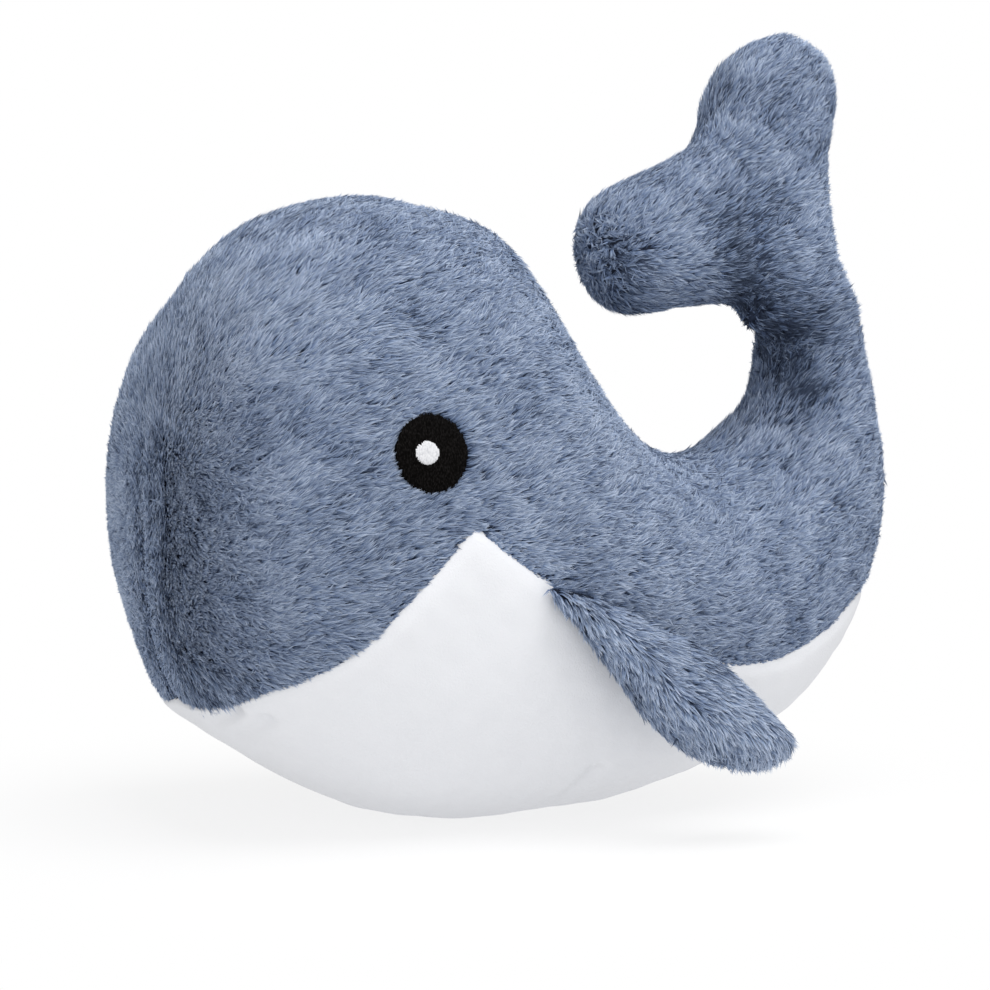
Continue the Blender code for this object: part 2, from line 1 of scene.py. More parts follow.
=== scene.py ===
# %% [markdown]
# # A plush whale, from plain solids to fur
#
# The whale is a sewn toy. Blue fur cloth covers the back, the tail, the flukes and the fins, short white
# plush covers the belly, and the eyes are sewn in thread. A plain solid model of it already has the right
# sizes and joints, and this lesson gives it its surfaces. Fur could be a hair system, but hair curves are
# lost when a model is exported, so here every fibre is a small pointed blade of real mesh. Each surface
# is worked out from the same formulas as the solids, only finer, so that it lies where its solid lies.

# %% Load the solid model
import math

import bpy
import numpy as np
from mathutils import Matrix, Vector


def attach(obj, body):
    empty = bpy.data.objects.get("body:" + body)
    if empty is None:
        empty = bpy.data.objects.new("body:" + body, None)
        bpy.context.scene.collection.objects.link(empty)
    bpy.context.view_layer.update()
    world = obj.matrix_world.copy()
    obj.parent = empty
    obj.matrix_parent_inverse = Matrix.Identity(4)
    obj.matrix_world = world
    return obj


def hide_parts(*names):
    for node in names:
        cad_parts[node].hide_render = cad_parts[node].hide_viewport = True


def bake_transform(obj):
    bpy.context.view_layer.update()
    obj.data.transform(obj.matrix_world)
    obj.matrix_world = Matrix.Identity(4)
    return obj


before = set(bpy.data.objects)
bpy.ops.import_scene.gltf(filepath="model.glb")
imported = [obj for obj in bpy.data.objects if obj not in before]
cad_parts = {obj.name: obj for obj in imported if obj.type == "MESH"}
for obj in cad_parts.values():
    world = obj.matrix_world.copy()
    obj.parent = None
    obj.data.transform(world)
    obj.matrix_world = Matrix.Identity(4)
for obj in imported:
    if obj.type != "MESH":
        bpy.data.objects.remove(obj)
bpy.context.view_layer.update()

# %% [markdown]
# ## Camera
#
# The picture looks at the whale's left side from a little ahead of it and a little above. A long lens
# from nearly a metre away keeps the perspective as mild as it is in the picture. The camera comes first,
# because every later choice is judged through it.

# %% Camera
VIEW_AZIMUTH = math.radians(-22.0)
VIEW_ELEVATION = math.radians(3.0)
VIEW_DISTANCE = 0.881
VIEW_TARGET = Vector((0.0154, 0.0, 0.1011))
LENS_MM = 100.0
SENSOR_MM = 36.0


def place_camera():
    """Look at the target from the azimuth, elevation and distance given above."""
    level = math.cos(VIEW_ELEVATION)
    back = Vector((math.sin(VIEW_AZIMUTH) * level, -math.cos(VIEW_AZIMUTH) * level, math.sin(VIEW_ELEVATION)))
    data = bpy.data.cameras.new("camera")
    data.lens = LENS_MM
    data.sensor_width = SENSOR_MM
    camera = bpy.data.objects.new("camera", data)
    bpy.context.scene.collection.objects.link(camera)
    camera.location = VIEW_TARGET + back * VIEW_DISTANCE
    camera.rotation_mode = "QUATERNION"
    camera.rotation_quaternion = back.to_track_quat("Z", "Y")
    bpy.context.scene.camera = camera
    return camera


print("camera at", [round(value, 3) for value in place_camera().location])

# %% [markdown]
# ## The skin as one swept surface
#
# A stuffed trunk has no flat or round part to start from. Its shape is a row of rings, each given by a
# point on the back, a point on the belly and a half width, and a smooth curve runs through all of them.
# Ring number and turn round the ring then name any place on the toy: turn 0 is the back, a quarter circle
# is the left side and a half circle is the belly. Seams, eyes and fins are placed by these two numbers.

# %% Rings of the trunk and the tail
TRUNK_LENGTH = 0.250
TRUNK_HEIGHT = 0.197
TRUNK_WIDTH = 0.152
STALK_RISE = 0.066
STALK_DEPTH = 0.033
STALK_WIDTH = 0.040
REST_CUT = 0.0005
# One row a ring: place along, height at the back, place along, height at the belly, half width
TRUNK_RING_SHARES = (
    (-0.398, 0.487, -0.398, 0.487, 0.000),
    (-0.396, 0.614, -0.394, 0.355, 0.434),
    (-0.382, 0.751, -0.372, 0.244, 0.724),
    (-0.340, 0.873, -0.320, 0.162, 0.895),
    (-0.252, 0.959, -0.240, 0.096, 0.980),
    (-0.132, 0.998, -0.136, 0.033, 1.000),
    (-0.016, 0.977, -0.032, 0.006, 0.993),
    (0.064, 0.904, 0.088, 0.008, 0.961),
    (0.124, 0.797, 0.200, 0.023, 0.895),
    (0.184, 0.695, 0.320, 0.063, 0.803),
    (0.244, 0.617, 0.440, 0.140, 0.697),
    (0.312, 0.584, 0.532, 0.254, 0.579),
    (0.368, 0.599, 0.588, 0.401, 0.461),
)
# One row a ring: place along, height, angle of the back point, depth, width
STALK_RING_SHARES = (
    (0.115, 0.298, 0.867, 1.650, 1.400),
    (0.122, 0.664, 0.950, 1.200, 1.150),
    (0.069, 1.000, 1.039, 1.000, 1.000),
)
SQUARE_SHARE = 0.07
LOW_SHARE = 0.07
PROBE_SHARE = 0.01
KEEL_SAMPLES = 400
CHIN_RING = 2.38
TRUNK_END_RING = 12.0
LAST_RING = 15


def unit(vectors):
    """Vectors divided by their lengths."""
    vectors = np.asarray(vectors, float)
    return vectors / np.maximum(np.linalg.norm(vectors, axis=-1, keepdims=True), 1e-12)


def spline(rows, places):
    """Catmull-Rom curve: a cubic through rows b and c whose slopes there are (c - a) / 2 and (d - b) / 2."""
    places = np.asarray(places, float)
    first = np.clip(np.floor(places).astype(int), 0, len(rows) - 4)
    t = (places - first)[..., None]
    a, b, c, d = (rows[first + k] for k in range(4))
    return 0.5 * (2 * b + (c - a) * t + (2 * a - 5 * b + 4 * c - d) * t**2 + (3 * b - a - 3 * c + d) * t**3)


def ring_table():
    """All rings in metres, with the second one mirrored ahead of the snout and one more past the stalk."""
    sizes = (TRUNK_LENGTH, TRUNK_HEIGHT, TRUNK_LENGTH, TRUNK_HEIGHT, TRUNK_WIDTH / 2)
    trunk = np.array(TRUNK_RING_SHARES) * sizes
    root = (trunk[-1, 0:2] + trunk[-1, 2:4]) / 2
    along, height, turn, depth, width = np.array(STALK_RING_SHARES).T
    middle = root + np.stack([along, height], -1) * STALK_RISE
    arm = np.stack([np.cos(turn * math.pi), np.sin(turn * math.pi)], -1) * (depth * STALK_DEPTH / 2)[:, None]
    stalk = np.column_stack([middle + arm, middle - arm, width * STALK_WIDTH / 2])
    rings = np.vstack([trunk, stalk])
    before = rings[1, [2, 3, 0, 1, 4]] * (1, 1, 1, 1, -1)
    return np.vstack([before, rings, 2 * rings[-1] - rings[-2]])


RINGS = ring_table()
print("rings:", len(RINGS))


# %% Points and normals of the skin
def raw_surface(ring, turn):
    """Middle of the ring + half its height * a cosine + half its width * a sine, made a little square."""
    ring, turn = np.broadcast_arrays(np.asarray(ring, float), np.asarray(turn, float))
    row = spline(RINGS, ring)
    back = np.stack([row[..., 0], 0 * ring, row[..., 1]], -1)
    belly = np.stack([row[..., 2], 0 * ring, row[..., 3]], -1)
    c, s = np.cos(turn), np.sin(turn)
    high = c * (1 + SQUARE_SHARE * s**2) - LOW_SHARE * s**2
    wide = s * (1 + SQUARE_SHARE * c**2)
    side = np.stack([0 * ring, -row[..., 4], 0 * ring], -1)
    return (back + belly) / 2 + (back - belly) / 2 * high[..., None] + side * wide[..., None]


def lowest_point():
    """The keel's lowest point, raised by the depth that the belly is flattened by where it rests."""
    keel = raw_surface(np.linspace(CHIN_RING, TRUNK_END_RING, KEEL_SAMPLES), math.pi)
    return keel[np.argmin(keel[:, 2])] + (0, 0, REST_CUT)


ORIGIN = lowest_point()


def surface(ring, turn):
    """The skin in the toy's own frame, whose origin is under the belly where it rests."""
    return raw_surface(ring, turn) - ORIGIN


def outward(ring, turn):
    """Unit normals: the step round the ring crossed with the step along the rings."""
    ring = np.maximum(np.asarray(ring, float), 3 * PROBE_SHARE)
    turn = np.asarray(turn, float)
    along = surface(ring + PROBE_SHARE, turn) - surface(ring - PROBE_SHARE, turn)
    round_it = surface(ring, turn + PROBE_SHARE) - surface(ring, turn - PROBE_SHARE)
    return unit(np.cross(round_it, along))


def ring_radius(ring):
    """Mean of half a ring's height and half its width."""
    row = spline(RINGS, np.asarray(ring, float))
    return (np.hypot(row[..., 0] - row[..., 2], row[..., 1] - row[..., 3]) / 2 + np.abs(row[..., 4])) / 2


def ring_middle(ring):
    """The point half way between a ring's back and its belly."""
    return (surface(ring, 0.0) + surface(ring, math.pi)) / 2


def ring_heading(ring):
    """The way from the snout to the tail, square to the ring's plane."""
    across = unit(surface(ring, math.pi) - surface(ring, 0.0))
    heading = np.cross(across, (0, 1, 0))
    ahead = ring_middle(ring + PROBE_SHARE) - ring_middle(ring - PROBE_SHARE)
    return heading if heading @ ahead > 0 else -heading


print("origin of the toy's frame:", np.round(ORIGIN, 4))

# %% [markdown]
# ## Seams and soft dents
#
# Where two cloths are sewn together the thread pulls the skin in, so a seam shows as a shallow valley.
# The edge between blue and white runs from the chin up to a corner behind the eye and then falls to the
# tail. Two smooth curves that meet at that corner follow it better than one curve, which would round it
# off. The valley's depth falls away with the distance from the edge like a bell curve.

# %% The edge between blue and white
CORNER_RING = 5.5
# Ring number, and the white panel's half turn as a share of a half circle, ahead of the corner and behind
FRONT_EDGE_SHARES = (
    (CHIN_RING, 0.0), (2.6, 0.118), (2.8, 0.182), (3, 0.226), (3.3, 0.270), (3.6, 0.300), (4.3, 0.370),
    (5, 0.456), (CORNER_RING, 0.511),
)
REAR_EDGE_SHARES = (
    (CORNER_RING, 0.511), (6, 0.489), (6.7, 0.467), (7.4, 0.453), (8.1, 0.438), (8.8, 0.412), (9.5, 0.388),
    (10.2, 0.360), (10.8, 0.328), (11.4, 0.256), (TRUNK_END_RING, 0.0),
)
SEAM_DEPTH = 0.0008
SEAM_REACH = 0.0026
BACK_SEAM_DEPTH = 0.0004
# Soft dents and, with a depth below zero, swellings: middle, reach, depth
DENTS = (
    ((-0.0160, -0.0085, 0.1936), 0.0080, 0.0020),
    ((0.0080, -0.0240, 0.1790), 0.016, -0.0024),
    ((-0.0880, 0.0230, 0.1660), 0.017, 0.0040),
    ((-0.0980, 0.0450, 0.1100), 0.034, -0.0022),
    ((-0.0950, 0.0400, 0.0560), 0.012, 0.0020),
    ((-0.0880, 0.0150, 0.0380), 0.012, -0.0022),
    ((-0.0740, 0.0200, 0.0260), 0.012, 0.0042),
    ((0.0460, -0.0360, 0.1270), 0.024, 0.0022),
    ((0.1330, -0.0150, 0.1000), 0.026, -0.0014),
    ((0.1370, -0.0050, 0.1400), 0.028, -0.0020),
    ((0.0820, -0.0100, 0.1640), 0.012, -0.0016),
    ((0.1015, 0.0030, 0.1545), 0.010, 0.0036),
    ((0.1395, -0.0020, 0.1530), 0.012, -0.0014),
    ((0.0400, -0.0090, 0.1740), 0.016, 0.0020),
    ((0.0720, 0.0070, 0.2040), 0.028, -0.0018),
    ((0.0900, 0.0120, 0.2240), 0.020, -0.0012),
    ((0.1390, 0.0000, 0.1720), 0.020, 0.0026),
    ((0.1370, 0.0180, 0.2480), 0.015, 0.0026),
)
TRIM_FIRST_RING = 12.0
TRIM_LAST_RING = 13.5
STALK_TRIM = 0.0054
# The bent line where the flukes fold on to the stalk
FOLD_LINE = np.array((
    (0.097, -0.015, 0.186), (0.096, -0.019, 0.166), (0.109, -0.014, 0.150), (0.113, -0.011, 0.138),
))
FOLD_REACH = 0.0050
FOLD_DEPTH = 0.0024
# Painted shade along the fold: its reach and its depth
FOLD_PAINTED_SHADE_REACH = 0.0150
FOLD_PAINTED_SHADE = 0.42
PILE_HEIGHT = 0.0016
PILE_REACH = 0.0040


def smooth_through(place, knots):
    """Cubic between the knots of a table, with each knot's slope the mean of those beside it."""
    xs, ys = np.array(knots).T
    slope = np.gradient(ys, xs)
    k = np.clip(np.searchsorted(xs, place) - 1, 0, len(xs) - 2)
    step = xs[k + 1] - xs[k]
    t = np.clip((place - xs[k]) / step, 0, 1)
    rise = t * t * (3 - 2 * t)
    return (ys[k] * (1 - rise) + ys[k + 1] * rise + step * slope[k] * t * (1 - t) ** 2
            - step * slope[k + 1] * t * t * (1 - t))


def white_half_turn(ring):
    """Half the turn that the white panel covers at a ring, zero ahead of the chin and past the tail."""
    ring = np.asarray(ring, float)
    front, rear = smooth_through(ring, FRONT_EDGE_SHARES), smooth_through(ring, REAR_EDGE_SHARES)
    share = np.where(ring < CORNER_RING, front, rear)
    return np.where((ring > CHIN_RING) & (ring < TRUNK_END_RING), np.maximum(share, 0), 0) * math.pi


def trimmed(ring, turn):
    """Skin and normals, the stalk's inner side drawn in by depth * (1 + cos of the turn) / 2."""
    ring, turn = np.broadcast_arrays(np.asarray(ring, float), np.asarray(turn, float))
    points, normals = surface(ring, turn), outward(ring, turn)
    share = np.clip((ring - TRIM_FIRST_RING) / (TRIM_LAST_RING - TRIM_FIRST_RING), 0, 1)
    depth = STALK_TRIM * share * share * (3 - 2 * share) * (1 + np.cos(turn)) / 2
    return points - depth[..., None] * normals, normals


def bell(distance, reach):
    """exp(-(distance / reach)^2): one at no distance, and next to nothing from twice the reach on."""
    return np.exp(-(distance / reach) ** 2)


def from_line(points, start, end):
    """The share of a line where each point is nearest to it, and the vectors from there to the points."""
    line = end - start
    along = np.clip((points - start) @ line / (line @ line), 0, 1)
    return along, points - start - along[..., None] * line


def near_fold(points, reach):
    """exp(-(distance / reach)^2) for the distance from the nearest part of the fold's line."""
    parts = [from_line(points, start, end)[1] for start, end in zip(FOLD_LINE[:-1], FOLD_LINE[1:])]
    return bell(np.min([np.linalg.norm(away, axis=-1) for away in parts], axis=0), reach)


def with_places(total, points, table):
    """Total + the sum of depth * exp(-(distance / reach)^2) over a table of middles, reaches and depths."""
    for middle, reach, depth in table:
        total = total + depth * bell(np.linalg.norm(points - middle, axis=-1), reach)
    return total


def soft_dents(points):
    """How deep the skin lies under the swept surface: the fold's valley and the dents."""
    return with_places(FOLD_DEPTH * near_fold(points, FOLD_REACH), points, DENTS)


def dressed(ring, turn, pile=0.0):
    """Skin - normal * depth * exp(-(distance / reach)^2) for the seams, and for the soft dents. A pile
    sinks the cloth by its own height, and by half of that at the edge of the white.
    """
    ring, turn = np.broadcast_arrays(np.asarray(ring, float), np.asarray(turn, float))
    points, normals = trimmed(ring, turn)
    from_back = math.pi - np.abs(math.pi - np.mod(turn, 2 * math.pi))
    radius = ring_radius(ring)
    from_edge = (from_back - (math.pi - white_half_turn(ring))) * radius
    fall = SEAM_DEPTH * bell(from_edge, SEAM_REACH)
    fall = fall + BACK_SEAM_DEPTH * bell(from_back * radius, SEAM_REACH)
    fall = fall + soft_dents(points)
    fall = fall + pile * (1 - 0.5 * bell(from_edge, PILE_REACH))
    return points - fall[..., None] * normals, normals


print("white half turn at rings 3, 5.5 and 11:", np.round(white_half_turn([3, 5.5, 11]), 3))

# %% [markdown]
# ## Smooth noise and meshes from arrays
#
# Real cloth is never even, so lengths, directions and tones wander slowly over the toy. The mean of a few
# waves in random directions gives such a slow wandering for any number of points at once, and it is the
# same at each run. Meshes are filled from arrays in one go, which is hundreds of times quicker than
# adding the fibres one by one.

# %% Noise, grids and meshes
WAVES = 7
MAP_NAME = "OFBake"
MAP_SPAN = (0.01, 0.98)


def ripple(points, size, seed):
    """Mean of sines of (direction . point / size + phase), scaled to reach about -1 and 1."""
    rng = np.random.default_rng(seed)
    heading = unit(rng.normal(size=(WAVES, 3))) * 2 * math.pi / (size * rng.uniform(0.7, 1.4, (WAVES, 1)))
    phase = rng.uniform(0, 2 * math.pi, WAVES)
    return np.sin(points @ heading.T + phase).sum(-1) / math.sqrt(WAVES)


def wandering(points, size, seeds):
    """Three ripples as the parts of a vector."""
    return np.stack([ripple(points, size, seed) for seed in seeds], -1)


def grid_quads(rows, columns, wrap=False):
    """Four corner numbers for each cell of a grid of points numbered row by row."""
    i, j = np.meshgrid(np.arange(rows - 1), np.arange(columns - (not wrap)), indexing="ij")
    k = (j + 1) % columns
    row, after = i * columns, (i + 1) * columns
    return np.stack([row + j, row + k, after + k, after + j], -1).reshape(-1, 4)


def grid_places(rows, columns):
    """A place on the map for each point of a grid, spread over all of the map but a thin margin."""
    v, u = np.meshgrid(np.linspace(*MAP_SPAN, rows), np.linspace(*MAP_SPAN, columns), indexing="ij")
    return np.stack([u, v], -1).reshape(-1, 2)


def mesh_object(name, points, quads, triangles=None, places=None, finish=None):
    """An object from whole arrays: points, quads, then triangles, and a place on the map for each point."""
    triangles = np.zeros((0, 3), int) if triangles is None else triangles
    corners = np.concatenate([quads.ravel(), triangles.ravel()]).astype(np.int32)
    starts = np.concatenate([np.arange(len(quads)) * 4, len(quads) * 4 + np.arange(len(triangles)) * 3])
    mesh = bpy.data.meshes.new(name)
    mesh.vertices.add(len(points))
    mesh.vertices.foreach_set("co", points.astype(np.float32).ravel())
    mesh.loops.add(len(corners))
    mesh.loops.foreach_set("vertex_index", corners)
    mesh.polygons.add(len(starts))
    mesh.polygons.foreach_set("loop_start", starts.astype(np.int32))
    mesh.update(calc_edges=True)
    if places is not None:
        layer = mesh.uv_layers.new(name=MAP_NAME)
        layer.data.foreach_set("uv", places[corners].astype(np.float32).ravel())
    mesh.validate()
    mesh.shade_smooth()
    if finish is not None:
        mesh.materials.append(finish)
    made = bpy.data.objects.new(name, mesh)
    bpy.context.scene.collection.objects.link(made)
    return made


def grid_normals(grid, wrap=False):
    """Unit normals of a grid of points, the step along a row crossed with the step between rows."""
    if wrap:
        across = np.roll(grid, -1, 1) - np.roll(grid, 1, 1)
    else:
        across = np.gradient(grid, axis=1)
    return unit(np.cross(across, np.gradient(grid, axis=0)))


print("ripple at the origin:", round(float(ripple(np.zeros(3), 0.01, 1)), 3))

# %% [markdown]
# ## Shader helper
#
# A shader is a graph of nodes, but its maths reads best as a formula. The class below wraps one output
# socket, so that 1 - mask or 0.5 * height adds the Math nodes that it needs. Its other methods add any
# kind of node, and mix two colours.

# %% Formulas for shaders


class Wire:
    """One output socket of a node tree, for writing shader maths as Python expressions."""

    def __init__(self, tree, socket=None):
        self.tree = tree
        self.socket = socket

    def node(self, kind, settings=None, sockets=None, out=0):
        """A new node: its settings first, a ramp's stops among them, then its sockets' values or links."""
        made = self.tree.nodes.new(kind)
        for name, value in (settings or {}).items():
            if name == "stops":
                ramp = made.color_ramp
                while len(ramp.elements) < len(value):
                    ramp.elements.new(1.0)
                for element, (place, colour) in zip(ramp.elements, value):
                    element.position = place
                    element.color = colour
            else:
                setattr(made, name, value)
        for name, value in (sockets or {}).items():
            if isinstance(value, Wire):
                self.tree.links.new(value.socket, made.inputs[name])
            else:
                made.inputs[name].default_value = value
        return Wire(self.tree, made.outputs[out])

    def math(self, operation, first, second=0.0):
        return self.node("ShaderNodeMath", {"operation": operation}, {0: first, 1: second})

    def mix(self, share, first, second):
        """The first colour turned by a share into the second. Each may be a colour or a wire."""
        return self.node("ShaderNodeMix", {"data_type": "RGBA"}, {0: share, 6: first, 7: second}, out=2)

    def __add__(self, other):
        return self.math("ADD", self, other)

    __radd__ = __add__

    def __sub__(self, other):
        return self.math("SUBTRACT", self, other)

    def __rsub__(self, other):
        return self.math("SUBTRACT", other, self)

    def __mul__(self, other):
        return self.math("MULTIPLY", self, other)

    __rmul__ = __mul__


def colour(red, green, blue):
    """A linear colour with alpha from the 0 to 255 values that a screen shows."""
    shown = np.array((red, green, blue)) / 255
    linear = np.where(shown <= 0.04045, shown / 12.92, ((shown + 0.055) / 1.055) ** 2.4)
    return (*linear.tolist(), 1.0)


def new_finish(name, roughness, specular=0.2, sheen=0.0):
    """A material with a Principled shader, and a wire to build its nodes from."""
    made = bpy.data.materials.new(name)
    made.use_nodes = True
    shader = made.node_tree.nodes["Principled BSDF"]
    shader.inputs["Roughness"].default_value = roughness
    shader.inputs["Specular IOR Level"].default_value = specular
    shader.inputs["Sheen Weight"].default_value = sheen
    return made, shader, Wire(made.node_tree)


def link(wire, shader, socket):
    wire.tree.links.new(wire.socket, shader.inputs[socket])


print("mid blue is", [round(value, 3) for value in colour(112, 132, 167)])

# %% [markdown]
# ## Blue fur
#
# Each fibre is dark at its root, painted shade where little light reaches it, and pale at its tip, and
# some locks are paler than others. The colour is therefore a function of two numbers only: how far along
# the fibre a point is, and how pale its lock is. Both are kept on the fibre's own map, so the colour can be
# baked and never slides. The darkest locks of all are painted shade for the deep gaps between others and
# for the places where painted shade is laid on the pile, and the cloth under the fibres sits in that
# painted shade corner of the map too.

# %% Blue fur finish
# Ramps from root to tip: each root is painted shade, and the last ramp is painted shade for gaps and shaded
# places
DARK_LOCK = ((0.0, colour(66, 80, 108)), (0.45, colour(84, 101, 132)), (1.0, colour(122, 141, 172)))
PALE_LOCK = ((0.0, colour(76, 92, 122)), (0.45, colour(120, 139, 170)), (1.0, colour(208, 219, 236)))
PAINTED_SHADE_LOCK = ((0.0, colour(30, 36, 50)), (0.45, colour(44, 52, 70)), (1.0, colour(68, 79, 100)))
PAINTED_SHADE_TONE = 0.09


def fur_finish():
    """Ramps along v with painted shade at the root. The dark turns pale with u; the lowest u is painted
    shade.
    """
    made, shader, wire = new_finish("blue_fur", 0.85)
    place = wire.node("ShaderNodeUVMap", {"uv_map": MAP_NAME})
    tone, along = (wire.node("ShaderNodeSeparateXYZ", {}, {0: place}, out=axis) for axis in (0, 1))
    dark, pale, deep = (wire.node("ShaderNodeValToRGB", {"stops": stops}, {0: along})
                        for stops in (DARK_LOCK, PALE_LOCK, PAINTED_SHADE_LOCK))
    share = wire.math("MINIMUM", tone * (1 / PAINTED_SHADE_TONE), 1.0)
    link(wire.mix(share, deep, wire.mix(tone, dark, pale)), shader, "Base Color")
    return made


BLUE_FUR = fur_finish()
print("made", BLUE_FUR.name)

# %% [markdown]
# ## Fibres in locks
#
# Pile doesn't stand as single hairs: five or six fibres cling together and share a tip, which is what
# gives fur its fine streaks. So the locks are planted first, evenly over the cloth, and each lock then
# gets its fibres round it, drawn together towards the tip. A fibre is a slim kite of four points. It rises
# steeply from the cloth and then bends over along the nap. Where the nap runs straight into the cloth or
# out of it, the part of it that lies in the cloth is short, and the fibre stands up more. It also strays
# more there, as nothing draws it to one side.

# %% Plant the fibres
FIBRE_LENGTH = 0.0048
FIBRE_WIDTH = 0.00043
LOCKS_PER_M2 = 1_850_000
FIBRES_A_LOCK = 4
LOCK_SPREAD = 0.00040
LOCK_GATHER = 0.60
ROOT_SINK = 0.0003
ROOT_LIFT = math.radians(38.0)
FACE_LIFT = math.radians(15.0)
FACE_FRONT = -0.088
FACE_BACK = -0.050
TIP_LIFT = math.radians(9.0)
BEND_SHARE = 0.38
SMALLEST_LIE = 0.66
STAND_UP = 0.25
YAW_WANDER = math.radians(10.0)
# Waves of the pile's direction and length: size and seed
YAW_WAVE = (0.014, 4)
LENGTH_WAVE = (0.011, 7)
LEAN_RANDOM = 0.20
LOOSE_RANDOM = 0.60
STANDING_SHARE = 0.50
LENGTH_SHARES = (0.78, 1.22)
WIDTH_SHARES = (0.7, 1.3)
GATHERED_AT_BEND = 0.4
LENGTH_WANDER = 0.10
LENGTH_RANDOM = 0.10
TWIST = math.radians(35.0)
# How pale the locks are: the middle, then waves as share, size and seed, then what sets locks apart
PALE_MIDDLE = 0.475
PALE_WAVES = ((0.12, 0.017, 5), (0.08, 0.006, 6))
LOCK_WAVE = (0.10, 0.0028, 11)
LOCK_RANDOM = 0.16
FIBRE_RANDOM = 0.14
PALE_SPAN = (0.012, 0.96)
# A fibre's four points on the map: how far they spread sideways, and how high they stand
TONE_SPREAD = 0.0015
MAP_HEIGHTS = (0.05, 0.47, 0.47, 0.98)
# The cloth's corner of the map lies below the painted shade tone, so the cloth is mostly painted shade
CLOTH_CORNER = 0.004
CLOTH_CORNER_SIZE = 0.03
# Painted shade laid on the pile, and painted light where the depth is below zero: middle, reach, depth
PAINTED_SHADES = (
    ((0.0530, -0.0200, 0.1800), 0.012, 0.22),
    ((0.0580, -0.0120, 0.1630), 0.012, 0.20),
    ((0.1000, 0.0000, 0.1850), 0.050, 0.04),
    ((0.1150, 0.0050, 0.2250), 0.025, 0.14),
    ((0.1130, -0.0080, 0.1460), 0.015, 0.19),
    ((-0.0360, -0.0400, 0.1780), 0.012, 0.12),
    ((-0.0980, -0.0400, 0.0900), 0.042, 0.13),
    ((-0.0890, -0.0320, 0.1500), 0.026, -0.34),
    ((0.0990, -0.0080, 0.1600), 0.011, 0.20),
    ((0.0270, -0.0700, 0.0960), 0.030, -0.10),
    ((0.0680, -0.0880, 0.0260), 0.022, -0.42),
)
# Corner numbers of a fibre's two triangles: its root, two points at the bend and its tip
FIBRE_TRIANGLES = np.array(((0, 1, 2), (1, 3, 2)))


def scatter(points, quads, per_area, rng):
    """For places spread evenly by area: the three points round each, and their shares of it, which are
    1 - s, s * (1 - r) and s * r, with r one random number and s the square root of another.
    """
    corners = np.concatenate([quads[:, [0, 1, 2]], quads[:, [0, 2, 3]]])
    a, b, c = (points[corners[:, k]] for k in range(3))
    total = np.cumsum(np.linalg.norm(np.cross(b - a, c - a), axis=1) / 2)
    count = int(total[-1] * per_area)
    chosen = np.minimum(np.searchsorted(total, rng.random(count) * total[-1]), len(total) - 1)
    s, r = np.sqrt(rng.random(count)), rng.random(count)
    return corners[chosen], np.stack([1 - s, s * (1 - r), s * r], -1)


def mixed(values, near, shares):
    """The mean of the values at each place's three points, weighted by their shares."""
    return (values[near] * shares[..., None]).sum(1)


def painted_pile_shade(points):
    """How much painted shade darkens the pile in the fold and round a few places; a depth below zero is
    painted light.
    """
    return with_places(FOLD_PAINTED_SHADE * near_fold(points, FOLD_PAINTED_SHADE_REACH), points, PAINTED_SHADES)


def root_lift(place):
    """Angle between cloth and fibre at the root: small on the face, where the pile is stroked flat."""
    share = np.clip((FACE_BACK - place[:, :1]) / (FACE_BACK - FACE_FRONT), 0, 1)
    return ROOT_LIFT + (FACE_LIFT - ROOT_LIFT) * share * share * (3 - 2 * share)


def flattened(vectors, normals):
    """The vectors without their part along the normals."""
    return vectors - (vectors * normals).sum(-1, keepdims=True) * normals


